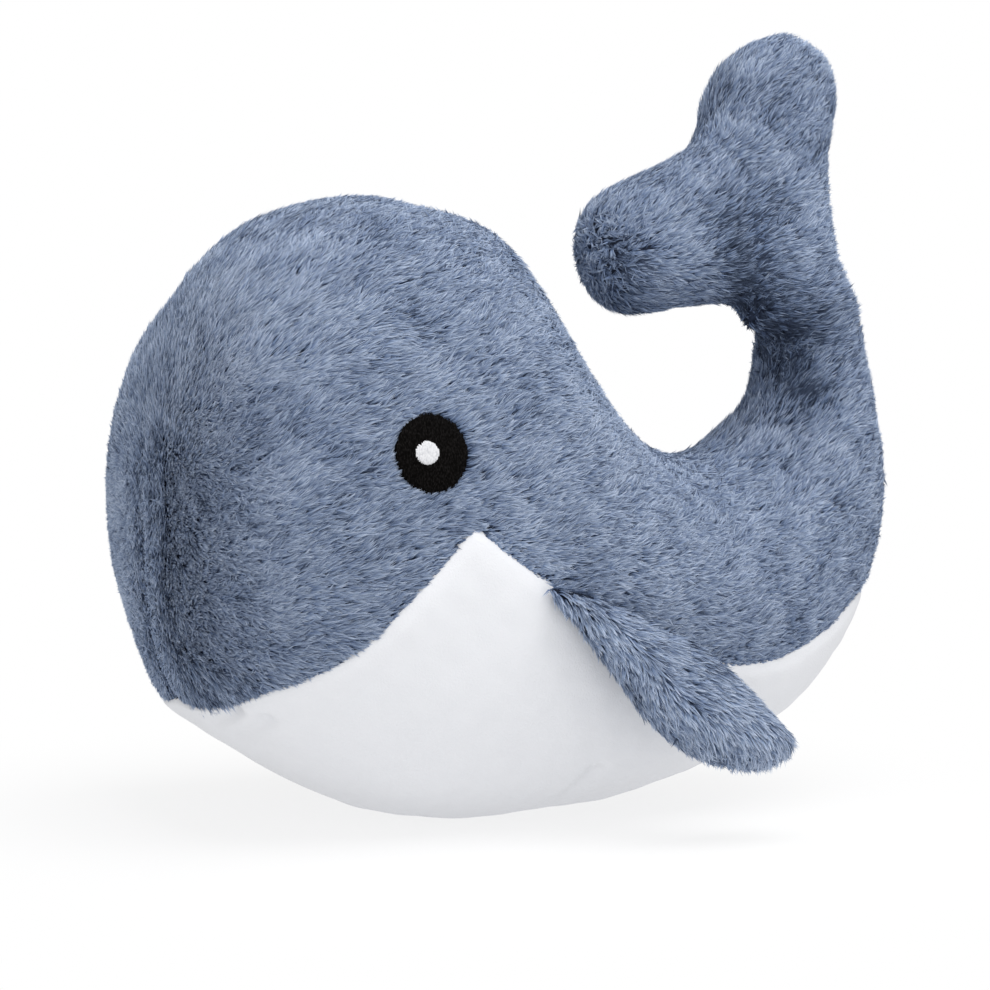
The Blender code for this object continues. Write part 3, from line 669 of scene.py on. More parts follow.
def fibres(points, normals, quads, combed, seed, lengths=None, clear=None, room=None, density=1.0,
           contrast=1.0):
    """Fibre points as (count, 4, 3) and their places on the map as (count, 4, 2). Clear says where fibres
    may grow, lengths gives their share of the full length at each point, and room what they have ahead.
    """
    rng = np.random.default_rng(seed)
    near, shares = scatter(points, quads, LOCKS_PER_M2 * density, rng)
    if clear is not None:
        kept = clear(mixed(points, near, shares))
        near, shares = near[kept], shares[kept]
    place, normal = mixed(points, near, shares), unit(mixed(normals, near, shares))
    nap = flattened(combed(place, normal), normal)
    loose = 1 - np.minimum(np.linalg.norm(nap, axis=-1, keepdims=True), 1)
    nap = flattened(nap + (LEAN_RANDOM + LOOSE_RANDOM * loose) * rng.normal(size=place.shape), normal)
    lie = np.clip(np.linalg.norm(nap, axis=-1, keepdims=True), SMALLEST_LIE, 1)
    nap, side = unit(nap), unit(np.cross(normal, nap))
    yaw = YAW_WANDER * ripple(place, *YAW_WAVE)[:, None]
    nap, side = np.cos(yaw) * nap + np.sin(yaw) * side, np.cos(yaw) * side - np.sin(yaw) * nap
    pale = PALE_MIDDLE
    for share, size, number in PALE_WAVES:
        pale = pale + share * ripple(place, size, number)
    share, size, number = LOCK_WAVE
    pale = pale + contrast * (share * ripple(place, size, number) + LOCK_RANDOM * rng.normal(size=len(place)))
    # Painted shade and painted light, taken off the locks' paleness
    pale = pale - painted_pile_shade(place)
    reach = 1 + LENGTH_WANDER * ripple(place, *LENGTH_WAVE) + LENGTH_RANDOM * rng.normal(size=len(place))
    reach = reach * (STANDING_SHARE + (1 - STANDING_SHARE) * lie[:, 0])
    if lengths is not None:
        reach = reach * mixed(lengths[:, None], near, shares)[:, 0]
    if room is not None:
        reach = reach * room(place, nap)

    def each(values):
        return np.repeat(values, FIBRES_A_LOCK, axis=0)

    count = len(place) * FIBRES_A_LOCK
    place, normal, nap, side, lie = each(place), each(normal), each(nap), each(side), each(lie)
    offset = rng.normal(size=(count, 2)) * LOCK_SPREAD
    offset = offset[:, :1] * nap + offset[:, 1:] * side
    size = FIBRE_LENGTH * each(reach)[:, None] * rng.uniform(*LENGTH_SHARES, (count, 1))
    lift = root_lift(place)
    first = unit(nap * lie * np.cos(lift) + normal * np.sin(lift))
    second = unit(nap * lie * math.cos(TIP_LIFT) + normal * (math.sin(TIP_LIFT) + STAND_UP * (1 - lie)))
    root = place + offset - ROOT_SINK * normal
    bend = root + BEND_SHARE * size * first - GATHERED_AT_BEND * LOCK_GATHER * lie * offset
    tip = bend + (1 - BEND_SHARE) * size * second - (1 - GATHERED_AT_BEND) * LOCK_GATHER * lie * offset
    twist = TWIST * rng.normal(size=(count, 1))
    across = np.cos(twist) * side + np.sin(twist) * np.cross(first, side)
    across = across * FIBRE_WIDTH / 2 * rng.uniform(*WIDTH_SHARES, (count, 1))
    shape = np.stack([root, bend - across, bend + across, tip], 1)
    u = np.clip(each(pale) + FIBRE_RANDOM * rng.normal(size=count), *PALE_SPAN)
    spread = TONE_SPREAD * np.array((0, -1, 1, 0))
    places = np.stack([u[:, None] + spread, np.broadcast_to(MAP_HEIGHTS, (count, 4))], -1)
    return shape, places


def furred(name, points, normals, quads, combed, seed, **options):
    """One object of cloth and its fibres. The cloth's map lies in the corner that no fibre uses, mostly
    painted shade.
    """
    shape, places = fibres(points, normals, quads, combed, seed, **options)
    count = len(shape)
    start = len(points) + 4 * np.arange(count)[:, None, None]
    low, high = points.min(0), points.max(0)
    corner = CLOTH_CORNER + CLOTH_CORNER_SIZE * ((points - low) / (high - low))[:, [0, 2]]
    everything = np.concatenate([points - ROOT_SINK * normals, shape.reshape(-1, 3)])
    places = np.concatenate([corner, places.reshape(-1, 2)])
    triangles = (start + FIBRE_TRIANGLES).reshape(-1, 3)
    made = mesh_object(name, everything, quads, triangles, places, BLUE_FUR)
    print(f"{name}: {count} fibres, {2 * len(quads) + len(triangles)} triangles")
    return made


# %% [markdown]
# ## Nap
#
# The pile of a plush toy lies the way it was last stroked. In the picture it runs from the snout to the
# tail and rises a little on its way, steeply on the brow and gently along the flank. A short table of
# places says how steeply, and every point takes the mean of the table's rows, each weighted by one over
# the distance to it, squared and squared again. On the snout the fibres part instead, and lie away from a
# line down its middle.

# %% Which way the fibres lie
# One row a place: millimetres along, millimetres up, degrees that the fibres rise towards the rear
COMBED_PLACES = np.array((
    (-96, 60, 5), (-96, 110, 5), (-93, 140, 8), (-88, 65, 14), (-88, 90, 14), (-86, 120, 22),
    (-84, 150, 30), (-76, 58, 6), (-79, 80, 28), (-79, 115, 40), (-78, 140, 20), (-75, 165, 44),
    (-64, 180, 60), (-62, 65, 14), (-62, 95, 24), (-60, 125, 14), (-58, 148, 11), (-58, 169, 36),
    (-45, 185, 54), (-42, 68, 26), (-44, 86, 18), (-42, 102, 26), (-40, 126, 28), (-40, 148, 13),
    (-36, 168, 27), (-28, 182, 42), (-15, 98, 10), (-15, 122, 19), (-13, 140, 26), (-12, 168, 32),
    (8, 86, 10), (8, 110, 21), (8, 137, 17), (4, 158, 30), (30, 70, 0), (32, 92, 10), (32, 112, 22),
    (22, 127, 20), (60, 62, 1), (60, 76, 13), (60, 94, 28), (78, 60, 10), (78, 76, 20), (80, 92, 32),
    (104, 58, 16), (106, 78, 20), (100, 94, 34), (124, 66, 16), (124, 90, 22), (103, 112, 52),
    (115, 118, 38), (129, 115, 28), (104, 132, 46), (125, 142, 28), (96, 158, 50), (108, 160, 10),
    (120, 160, 18), (86, 170, -8), (62, 171, 6), (108, 172, 8), (100, 183, 21), (66, 184, 33),
    (84, 188, 38), (62, 195, 48), (100, 196, 37), (113, 196, 27), (126, 196, 42), (95, 207, 50),
    (114, 207, 33), (128, 210, 44), (90, 220, 80), (104, 222, 54), (118, 226, 38), (132, 230, 42),
    (106, 240, 62), (122, 244, 44),
))
BLEND_POWER = 4
BLEND_FLOOR = 6.0
RISE_WANDER = np.radians(5)
RISE_WAVE = (0.035, 3)
# The line down the snout from which the fibres part
PARTING_LOW = np.array((-0.101, 0.0, 0.062))
PARTING_HIGH = np.array((-0.101, 0.0, 0.108))
PARTING_REACH = 0.026
PARTING_STRAY = 0.003
PARTING_WAVES = (0.012, (8, 9, 10))
SNOUT_FRONT = -0.098
SNOUT_BACK = -0.078


def from_parting(points):
    """Vectors from the nearest point of the parting line, at most one long and a little astray."""
    away = from_line(points, PARTING_LOW, PARTING_HIGH)[1]
    away = away + PARTING_STRAY * wandering(points, *PARTING_WAVES)
    return away / np.maximum(np.linalg.norm(away, axis=-1, keepdims=True), PARTING_REACH)


def combed_body(points, normals):
    """(cos of the rise, 0, sin of the rise) for the table's rise, turned away from the parting in front."""
    across, upward = points[:, None, 0] * 1000, points[:, None, 2] * 1000
    gap = np.hypot(across - COMBED_PLACES[:, 0], upward - COMBED_PLACES[:, 1])
    weight = 1 / (gap + BLEND_FLOOR) ** BLEND_POWER
    rise = np.radians((weight * COMBED_PLACES[:, 2]).sum(-1) / weight.sum(-1))
    rise = rise + RISE_WANDER * ripple(points, *RISE_WAVE)
    nap = np.stack([np.cos(rise), 0 * rise, np.sin(rise)], -1)
    front = np.clip((SNOUT_BACK - points[:, :1]) / (SNOUT_BACK - SNOUT_FRONT), 0, 1)
    front = front * front * (3 - 2 * front)
    return nap * (1 - front) + from_parting(points) * front


print("nap table rows:", len(COMBED_PLACES))

# %% [markdown]
# ## Eyes, first their places
#
# The eyes are sewn before the toy is stuffed, so they lie in the skin and follow its curve. To lay a flat
# pattern on a curved skin, each of its points is moved over the skin until its place in the tangent plane
# is the wanted one. Newton's method does that for all points at once, and four steps are plenty. The
# fibres need to know where the eye is too, because none grow through it.

# %% Lay flat patterns on the skin
EYE_RING = 5.0
EYE_TURN = 0.429 * math.pi
EYE_RADIUS = 0.0117
EYE_SHIFT = (0.0010, 0.0014)
NEWTON_STEPS = 4


def tangent_frame(ring, turn):
    """A point of the skin, its normal, the level direction to the rear and the direction up the skin."""
    centre, normal = surface(ring, turn), outward(ring, turn)
    level = unit(np.cross((0, 0, 1), normal))
    return centre, normal, level, np.cross(normal, level)


def lay_on_skin(flat, ring, turn):
    """Points and normals of the skin whose tangent-plane places are flat, found by Newton's method."""
    centre, _, level, upright = tangent_frame(ring, turn)
    rings = np.full(flat.shape[:-1], float(ring))
    turns = np.full(flat.shape[:-1], float(turn))

    def place(r, t):
        moved = surface(r, t) - centre
        return np.stack([moved @ level, moved @ upright], -1)

    for _ in range(NEWTON_STEPS):
        here = place(rings, turns)
        by_ring = (place(rings + PROBE_SHARE, turns) - here) / PROBE_SHARE
        by_turn = (place(rings, turns + PROBE_SHARE) - here) / PROBE_SHARE
        miss = flat - here
        size = by_ring[..., 0] * by_turn[..., 1] - by_ring[..., 1] * by_turn[..., 0]
        rings = rings + (miss[..., 0] * by_turn[..., 1] - miss[..., 1] * by_turn[..., 0]) / size
        turns = turns + (miss[..., 1] * by_ring[..., 0] - miss[..., 0] * by_ring[..., 1]) / size
    return surface(rings, turns), outward(rings, turns)


EYE_CENTRE = lay_on_skin(np.array(EYE_SHIFT), EYE_RING, EYE_TURN)[0]
print("left eye at", np.round(EYE_CENTRE, 4))

# %% [markdown]
# ## The blue back
#
# The back is two halves of fur cloth that meet along the spine. Each is cut here into four stretches,
# only so that no mesh gets too heavy: the face, the brow, the flank and the rear. A stretch is a grid of
# rings and turns from the spine down to the edge of the white.

# %% Back panels
# Name, first ring, last ring, and how densely the fibres grow
BACK_STRETCHES = (
    ("face", 0.02, 3.4, 1.25), ("brow", 3.4, 5.1, 1.0), ("flank", 5.1, 7.6, 1.0), ("rear", 7.6, 11.2, 1.0),
)
ROWS_A_RING = 14
BACK_COLUMNS = 46
EYE_CLEAR = 0.0004
EYE_OVERLAP = 0.0006
SHORTEST_SHARE = 0.35
EDGE_LENGTH = 0.45
EDGE_REACH = 0.0050
CHIN_LAST_RING = 3.6
CHIN_RINGS = 0.6
CHIN_TRIM = 0.40


def clear_of_eyes(points):
    """True where a fibre's root isn't under the thread of an eye."""
    folded = points * (1, -1, 1)
    folded[:, 1] = -np.abs(points[:, 1])
    return np.linalg.norm(folded - EYE_CENTRE, axis=-1) > EYE_RADIUS - EYE_CLEAR


def room_by_the_eye(points, naps):
    """Share of its length that each fibre has before it meets the rim of the eye that it heads for."""
    side = np.where(points[:, 1:2] > 0, -1, 1) ** np.array((0, 1, 0))
    away, nap = EYE_CENTRE - points * side, naps * side
    ahead = (away * nap).sum(-1)
    aside = np.linalg.norm(away - ahead[:, None] * nap, axis=-1)
    rim = EYE_RADIUS - EYE_OVERLAP
    gap = ahead - np.sqrt(np.maximum(rim**2 - aside**2, 0))
    return np.where((aside < rim) & (ahead > 0), np.clip(gap / FIBRE_LENGTH, SHORTEST_SHARE, 1), 1)


def blue_grid(first, last, low, high, columns):
    """Points, normals and fibre lengths for rings from first to last, and for turns as shares of the blue
    part's half turn from low to high. Fibres get shorter towards the white.
    """
    rings = np.linspace(first, last, max(int((last - first) * ROWS_A_RING), 4))
    half = (math.pi - white_half_turn(rings))[:, None]
    turn = half * np.linspace(low, high, columns)
    points, normals = dressed(np.repeat(rings[:, None], columns, 1), turn, PILE_HEIGHT)
    from_edge = (half - np.abs(turn)) * ring_radius(rings)[:, None]
    near_white = np.where(rings[:, None] < TRUNK_END_RING, bell(from_edge, EDGE_REACH), 0)
    chin = np.clip((CHIN_LAST_RING - rings[:, None]) / CHIN_RINGS, 0, 1)
    lengths = 1 - (1 - EDGE_LENGTH) * near_white * (1 + CHIN_TRIM * chin)
    return points.reshape(-1, 3), normals.reshape(-1, 3), grid_quads(*points.shape[:2]), lengths.ravel()


def back_pieces():
    made = []
    for side, low, high in (("left", 0.0, 1.0), ("right", -1.0, 0.0)):
        for number, (part, first, last, density) in enumerate(BACK_STRETCHES):
            points, normals, quads, lengths = blue_grid(first, last, low, high, BACK_COLUMNS)
            name = f"back_{side}_{part}_fur"
            seed = 100 + 10 * number + (side == "right")
            piece = furred(name, points, normals, quads, combed_body, seed, lengths=lengths,
                           clear=clear_of_eyes, room=room_by_the_eye, density=density)
            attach(piece, "trunk")
            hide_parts(f"back_{side}_panel", "trunk_stuffing")
            made.append(piece)
    return made


BACK = back_pieces()

# %% [markdown]
# ## White belly
#
# Short plush hides its own fibres, so the belly is one fine grid whose grain is left to the finish. Three
# soft creases run in from the seam, as they do where stuffed cloth turns a tight curve. A crease is a
# valley along a line: its depth falls with the distance from the line like a bell curve. The cloth stops
# at the ground, where its weight flattens it. The tip of the belly reaches on to the root of the tail, so
# the two planes between which the tail bends are worked out here as well.

# %% White plush finish
WHITE_PLUSH_COLOUR = (0.775, 0.783, 0.807, 1.0)
PLUSH_SHADE_COLOUR = (0.700, 0.712, 0.745, 1.0)


def plush_finish():
    """White with faint clouds and a fine nap: a bump from small noise, in the toy's own coordinates."""
    made, shader, wire = new_finish("white_plush", 0.90, sheen=0.15)
    place = wire.node("ShaderNodeTexCoord", out=3)
    cloud = wire.node("ShaderNodeTexNoise", {}, {"Vector": place, "Scale": 140.0, "Detail": 3.0})
    grain = wire.node("ShaderNodeTexNoise", {}, {"Vector": place, "Scale": 1800.0, "Detail": 2.0})
    mixing = cloud * 0.35 + grain * 0.25
    link(wire.mix(mixing, WHITE_PLUSH_COLOUR, PLUSH_SHADE_COLOUR), shader, "Base Color")
    height = {"Height": grain + cloud * 0.6, "Strength": 0.5, "Distance": 0.00025}
    link(wire.node("ShaderNodeBump", {}, height), shader, "Normal")
    return made


WHITE_PLUSH = plush_finish()
print("made", WHITE_PLUSH.name)

# %% Where the tail bends
ROOT_RINGS = (11.2, 13.3)
TAIL_COLUMNS = 72
BEND_RING = 11.25


def ring_points(ring):
    """The skin's points round one ring."""
    return surface(ring, np.linspace(0, 2 * math.pi, TAIL_COLUMNS, endpoint=False))


def bend_planes():
    """Start on the middle of a ring, and end where a plane square to that ring touches the stalk's start."""
    heading = ring_heading(BEND_RING)
    start = ring_middle(BEND_RING)
    reach = ((ring_points(ROOT_RINGS[1]) - start) @ heading).min()
    return start, start + reach * heading


print("tail bends between", [np.round(place, 4) for place in bend_planes()])

# %% Belly panel
BELLY_ROWS = 260
BELLY_COLUMNS = 150
BELLY_TUCK = 0.0015
TUCK_SLOPE = 1.0
# Faint waves in the cloth: depth, size and seed
BELLY_WAVES = ((0.00025, 0.030, 21), (0.0001, 0.009, 22))
CREASE_FADE = 0.7
# Crease lines on the skin: where each starts at the seam, where it runs out, its depth and its reach
CREASES = (
    ((-0.0835, -0.0400, 0.0410), (-0.0845, -0.0200, 0.0350), 0.0030, 0.0028),
    ((-0.0757, -0.0462, 0.0385), (-0.0790, -0.0250, 0.0310), 0.0028, 0.0030),
    ((0.0285, -0.0500, 0.0180), (0.0200, -0.0310, 0.0050), 0.0024, 0.0030),
)


def crease_fall(points):
    """Sum over the creases of depth * exp(-(distance from the line / reach)^2), on both sides alike."""
    folded = np.stack([points[..., 0], -np.abs(points[..., 1]), points[..., 2]], -1)
    fall = np.zeros(points.shape[:-1])
    for start, end, depth, reach in CREASES:
        along, away = from_line(folded, np.array(start), np.array(end))
        fall = fall + depth * (1 - CREASE_FADE * along) * bell(np.linalg.norm(away, axis=-1), reach)
    return fall


def belly_piece():
    rings = np.linspace(CHIN_RING, TRUNK_END_RING, BELLY_ROWS)
    white, radius = white_half_turn(rings), ring_radius(rings)
    half = white + BELLY_TUCK / radius
    turn = math.pi + half[:, None] * np.linspace(-1, 1, BELLY_COLUMNS)
    points, normals = dressed(np.repeat(rings[:, None], BELLY_COLUMNS, 1), turn)
    tucked = np.maximum(np.abs(turn - math.pi) - white[:, None], 0) * radius[:, None]
    fall = crease_fall(points)
    for depth, size, number in BELLY_WAVES:
        fall = fall - depth * ripple(points, size, number)
    fall = fall + TUCK_SLOPE * tucked
    points = points - fall[..., None] * normals
    points[..., 2] = np.maximum(points[..., 2], 0)
    made = mesh_object("belly_plush", points.reshape(-1, 3), grid_quads(BELLY_ROWS, BELLY_COLUMNS),
                       places=grid_places(BELLY_ROWS, BELLY_COLUMNS), finish=WHITE_PLUSH)
    start, end = bend_planes()
    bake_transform(made)
    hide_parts("belly_panel")
    print("belly_plush:", 2 * len(made.data.polygons), "triangles")
    return made


BELLY = belly_piece()

# %% [markdown]
# ## Root of the tail
#
# The stalk carries on from the back's rings. Its first stretch is where the tail bends, between two planes
# square to the ring where the rear of the back stops, but here it is made once, where it rests. The rest of
# the stalk runs into the flukes, so it is made together with them. The tip of the white belly reaches past
# the first plane.

# %% Root of the tail
def tail_root_piece():
    points, normals, quads, lengths = blue_grid(*ROOT_RINGS, -1.0, 1.0, TAIL_COLUMNS)
    made = furred("tail_root_fur", points, normals, quads, combed_body, 201, lengths=lengths, contrast=1.2)
    start, end = bend_planes()
    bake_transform(made)
    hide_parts("tail_root_sleeve", "tail_root_stuffing")
    return made


TAIL_ROOT = tail_root_piece()

# %% [markdown]
# ## Stalk and flukes
#
# The flukes are a flat stuffed pad with two lobes, gathered on to the stalk. No single grid covers a
# shape that forks, so this one is made another way. A pad is blown up from its outline, a tube carries
# the stalk into it, and a voxel remesh welds the two into one skin, which a few smoothing passes round
# off where they meet. The skin is then cut into the stalk, which goes with the tail, and the two halves of
# the flukes. A stuffed pad is as thick as a circle would be near its edge: its half height is
# H * sqrt(1 - (1 - d / D)^2) at a distance d from the edge, up to the distance D where it is full.

# %% Stuffed pads
FLUKE_REACH = 0.075
FLUKE_HALF_THICKNESS = 0.0150
FLUKE_ROUND = 0.0155
FLUKE_FORWARD = 0.012
FLUKE_LIFT = 0.020
FLUKE_LEAN = math.radians(17.5)
FLUKE_OUTLINE_SHARES = (
    (0.373, -0.42), (0.365, -0.06), (0.357, 0.12), (0.362, 0.28), (0.400, 0.45), (0.455, 0.62),
    (0.480, 0.77), (0.430, 0.92), (0.260, 1.000), (0.085, 0.950), (-0.075, 0.835), (-0.160, 0.690),
    (-0.200, 0.550), (-0.275, 0.425), (-0.420, 0.340), (-0.600, 0.265), (-0.780, 0.185),
    (-0.885, 0.050), (-0.895, -0.120), (-0.830, -0.260), (-0.700, -0.330), (-0.540, -0.318),
    (-0.400, -0.282), (-0.265, -0.275), (-0.165, -0.305), (-0.110, -0.42),
)
WAIST_FRONT_SHARE = (-0.160, -0.320)
WAIST_REAR_SHARE = (0.375, -0.020)
NOTCH_SHARE = (-0.275, 0.425)
PAD_RINGS = 16
PAD_POINTS = 180


def closed_curve(outline, count):
    """The given number of points on a smooth closed curve through an outline."""
    outline = np.asarray(outline, float)
    rows = np.vstack([outline[-1:], outline, outline[:2]])
    return spline(rows, np.arange(count) * len(outline) / count)


def edge_distance(flat, starts, ends):
    """Distance from each point to the nearest of the straight pieces from starts to ends."""
    step = ends - starts
    to = flat[..., None, :] - starts
    t = np.clip((to * step).sum(-1) / (step * step).sum(-1), 0, 1)
    return np.linalg.norm(to - t[..., None] * step, axis=-1).min(-1)


def pad(outline, middle, half, full_at, taper=None):
    """Closed grid: scaled copies of the outline, out over the front and back under, half the height apart."""
    scale = np.sin(np.linspace(0, math.pi / 2, PAD_RINGS))[:, None, None]
    flat = middle + scale * (outline - middle)
    depth = np.minimum(edge_distance(flat, outline, np.roll(outline, -1, 0)) / full_at, 1)
    height = half * np.sqrt(np.maximum(1 - (1 - depth) ** 2, 0))
    if taper is not None:
        height = height * taper(flat)
    height[-1] = 0
    flat = np.concatenate([flat, flat[-2::-1]])
    height = np.concatenate([height, -height[-2::-1]])
    return flat, height


def in_space(flat, height, frame_of):
    """Origin + the two in-plane directions times the flat place + the normal times the height."""
    origin, first, second, normal = frame_of
    return origin + flat[..., :1] * first + flat[..., 1:] * second + height[..., None] * normal


def fluke_frame():
    """Middle of the flukes, their rearward and upward directions, and the way that their front faces."""
    middle = ring_middle(float(LAST_RING)) + (-FLUKE_FORWARD, 0, FLUKE_LIFT)
    rear = np.array((1.0, 0.0, 0.0))
    up = np.array((0.0, math.sin(FLUKE_LEAN), math.cos(FLUKE_LEAN)))
    return middle, rear, up, np.cross(rear, up)


FLUKE_FRAME = fluke_frame()
print("middle of the flukes:", np.round(FLUKE_FRAME[0], 4))

# %% Flukes and their waist
WAIST_DEPTH_SHARE = 0.92
WAIST_FULLNESS_SHARE = 0.92
WAIST_ROWS = 14
WAIST_START_RING = 14.3
TUBE_START_RING = 12.6
TUBE_ROWS = 10
INTO_PAD = 0.012
INTO_PAD_SHARE = 0.9
VOXEL = 0.0015
SMOOTHING = 0.5
SMOOTHING_PASSES = 18
WHORL_REACH = 0.013
WHORL_SHARE = (-0.82, -0.06)
WHORL_HEIGHT = 0.008
WHORL_STRAY = 0.004
WHORL_WAVES = (0.008, (31, 32, 33))
WHORL_MIDDLE = 0.004
WHORL_LENGTH = 0.65
FOLD_CORNER = (0.100, -0.008, 0.160)
FOLD_TRIM = 0.35
FOLD_TRIM_REACH = 0.010
FLUKE_CONTRAST = 1.1
CUT_OVERLAP = 0.001
BLEND_PAST_WAIST = 0.010


def fluke_point(share):
    """A place of the flukes' middle plane in space."""
    return in_space(np.array(share) * FLUKE_REACH, np.zeros(()), FLUKE_FRAME)


def waist_line():
    """Middle of the gather between stalk and flukes, the line's direction, the way to the stalk, length."""
    front, rear = fluke_point(WAIST_FRONT_SHARE), fluke_point(WAIST_REAR_SHARE)
    along = unit(rear - front)
    return (front + rear) / 2, along, unit(np.cross(along, FLUKE_FRAME[3])), np.linalg.norm(rear - front)


def waist_tube():
    """Rings of the stalk, then rings that turn from round to flat along a smooth line into the pad."""
    turn = np.linspace(0, 2 * math.pi, TAIL_COLUMNS, endpoint=False)
    below = trimmed(WAIST_START_RING, turn)[0]
    middle, along, to_stalk, length = waist_line()
    centre = below.mean(0)
    heading = unit(ring_points(WAIST_START_RING).mean(0) - ring_points(ROOT_RINGS[1]).mean(0))
    reach = np.linalg.norm(middle - centre)
    above = -np.cos(turn)[:, None] * along * length / 2 * WAIST_DEPTH_SHARE
    above = above + np.sin(turn)[:, None] * FLUKE_FRAME[3] * FLUKE_HALF_THICKNESS * WAIST_FULLNESS_SHARE
    t = np.linspace(0, 1, WAIST_ROWS)[:, None]
    rise = t * t * (3 - 2 * t)
    line = centre * (1 - rise) + middle * rise + t * (1 - t) ** 2 * reach * heading
    line = line + t**2 * (1 - t) * reach * to_stalk
    loft = line[:, None] + (below - centre) * (1 - t)[..., None] + above * t[..., None]
    rings = np.linspace(TUBE_START_RING, WAIST_START_RING, TUBE_ROWS)[:-1]
    start = np.stack([trimmed(ring, turn)[0] for ring in rings])
    end = middle - INTO_PAD * to_stalk + above * INTO_PAD_SHARE
    return np.concatenate([start, loft, end[None]])


def capped(grid):
    """Points and quads of a closed tube: each end is drawn in to a point."""
    rows = np.concatenate([np.broadcast_to(grid[0].mean(0), grid[:1].shape), grid,
                           np.broadcast_to(grid[-1].mean(0), grid[:1].shape)])
    return rows.reshape(-1, 3), grid_quads(*rows.shape[:2], wrap=True)


def outside_out(points, quads):
    """The quads, turned round if the closed surface that they make is inside out."""
    a, b, c, d = (points[quads[:, k]] for k in range(4))
    volume = (a * np.cross(b, c)).sum() + (a * np.cross(c, d)).sum()
    return quads if volume > 0 else quads[:, ::-1]


def welded(name, parts):
    """One skin round several closed parts: a voxel remesh, then smoothing. Returns points and quads."""
    points, quads, start = [], [], 0
    for part_points, part_quads in parts:
        points.append(part_points)
        quads.append(outside_out(part_points, part_quads) + start)
        start += len(part_points)
    body = mesh_object(name, np.concatenate(points), np.concatenate(quads))
    remesh = body.modifiers.new("weld", "REMESH")
    remesh.mode = "VOXEL"
    remesh.voxel_size = VOXEL
    smooth = body.modifiers.new("smooth", "SMOOTH")
    smooth.factor = SMOOTHING
    smooth.iterations = SMOOTHING_PASSES
    shown = body.evaluated_get(bpy.context.evaluated_depsgraph_get()).to_mesh()
    made = np.zeros(len(shown.vertices) * 3, np.float32)
    shown.vertices.foreach_get("co", made)
    corners = np.zeros(len(shown.loops), np.int32)
    shown.loops.foreach_get("vertex_index", corners)
    directions = np.zeros(len(shown.vertices) * 3, np.float32)
    shown.vertices.foreach_get("normal", directions)
    bpy.data.objects.remove(body, do_unlink=True)
    return made.reshape(-1, 3).astype(float), corners.reshape(-1, 4), directions.reshape(-1, 3).astype(float)


def from_whorl(points):
    """Vectors from the near lobe's tip, a little astray, and exp(-(distance / reach)^2)."""
    tip = fluke_point(WHORL_SHARE) + WHORL_HEIGHT * FLUKE_FRAME[3]
    away = points - tip + WHORL_STRAY * wandering(points, *WHORL_WAVES)
    return away, bell(np.linalg.norm(away, axis=-1, keepdims=True), WHORL_REACH)


def combed_flukes(points, normals):
    """The body's nap, turned into a whorl round the near lobe's tip."""
    away, weight = from_whorl(points)
    round_it = away / (np.linalg.norm(away, axis=-1, keepdims=True) + WHORL_MIDDLE)
    return combed_body(points, normals) * (1 - weight) + round_it * weight


def beyond(points, ring):
    """How far each point lies past the plane of a ring, towards the flukes."""
    return (points - ring_middle(ring)) @ ring_heading(ring)


def stalk_and_flukes():
    outline = closed_curve(np.array(FLUKE_OUTLINE_SHARES) * FLUKE_REACH, PAD_POINTS)
    flat, height = pad(outline, np.zeros(2), FLUKE_HALF_THICKNESS, FLUKE_ROUND)
    body = in_space(flat, height, FLUKE_FRAME)
    points, quads, normals = welded("flukes", [
        (body.reshape(-1, 3), grid_quads(*body.shape[:2], wrap=True)), capped(waist_tube())])
    points = points - (PILE_HEIGHT + soft_dents(points)[:, None]) * normals
    lengths = 1 - (1 - WHORL_LENGTH) * from_whorl(points)[1][:, 0]
    lengths = lengths - FOLD_TRIM * bell(np.linalg.norm(points - FOLD_CORNER, axis=-1), FOLD_TRIM_REACH)
    middle, _, to_stalk, _ = waist_line()
    apart = unit(np.cross(middle - fluke_point(NOTCH_SHARE), FLUKE_FRAME[3]))
    apart = apart if apart @ FLUKE_FRAME[1] < 0 else -apart
    centre = points[quads].mean(1)
    stalk = beyond(centre, WAIST_START_RING) < 0
    left = (centre - middle) @ apart > 0
    cuts = {"tail_fur": stalk & (beyond(centre, ROOT_RINGS[1]) > -CUT_OVERLAP),
            "fluke_left_fur": ~stalk & left, "fluke_right_fur": ~stalk & ~left}
    made = []
    for seed, (name, chosen) in enumerate(cuts.items(), 301):
        used, again = np.unique(quads[chosen], return_inverse=True)
        made.append(furred(name, points[used], normals[used], again.reshape(-1, 4), combed_flukes, seed,
                           lengths=lengths[used], contrast=FLUKE_CONTRAST))
    nearest = ((ring_points(WAIST_START_RING) - middle) @ to_stalk).min()
    start, end = middle + nearest * to_stalk, middle - BLEND_PAST_WAIST * to_stalk
    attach(made[0], "tail")
    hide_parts("tail_left_panel", "tail_right_panel", "tail_stuffing")
    for side, piece in zip(("left", "right"), made[1:]):
        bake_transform(piece)
        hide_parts(*(f"fluke_{side}_{part}" for part in ("front_panel", "back_panel", "stuffing")))
    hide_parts("fluke_waist_sleeve", "fluke_waist_stuffing")
    print("flukes nod between", np.round(start, 4), "and", np.round(end, 4))
    return made


FLUKES = stalk_and_flukes()

# %% [markdown]
# ## Fins
#
# A fin is a leaf of two fur cloths, sewn round its edge, turned out and lightly stuffed. It hangs from
# the seam between blue and white and thins out towards it. Its pile runs down the leaf to the tip, but
# along the lower edge it parts at the seam and falls almost straight down over the white.

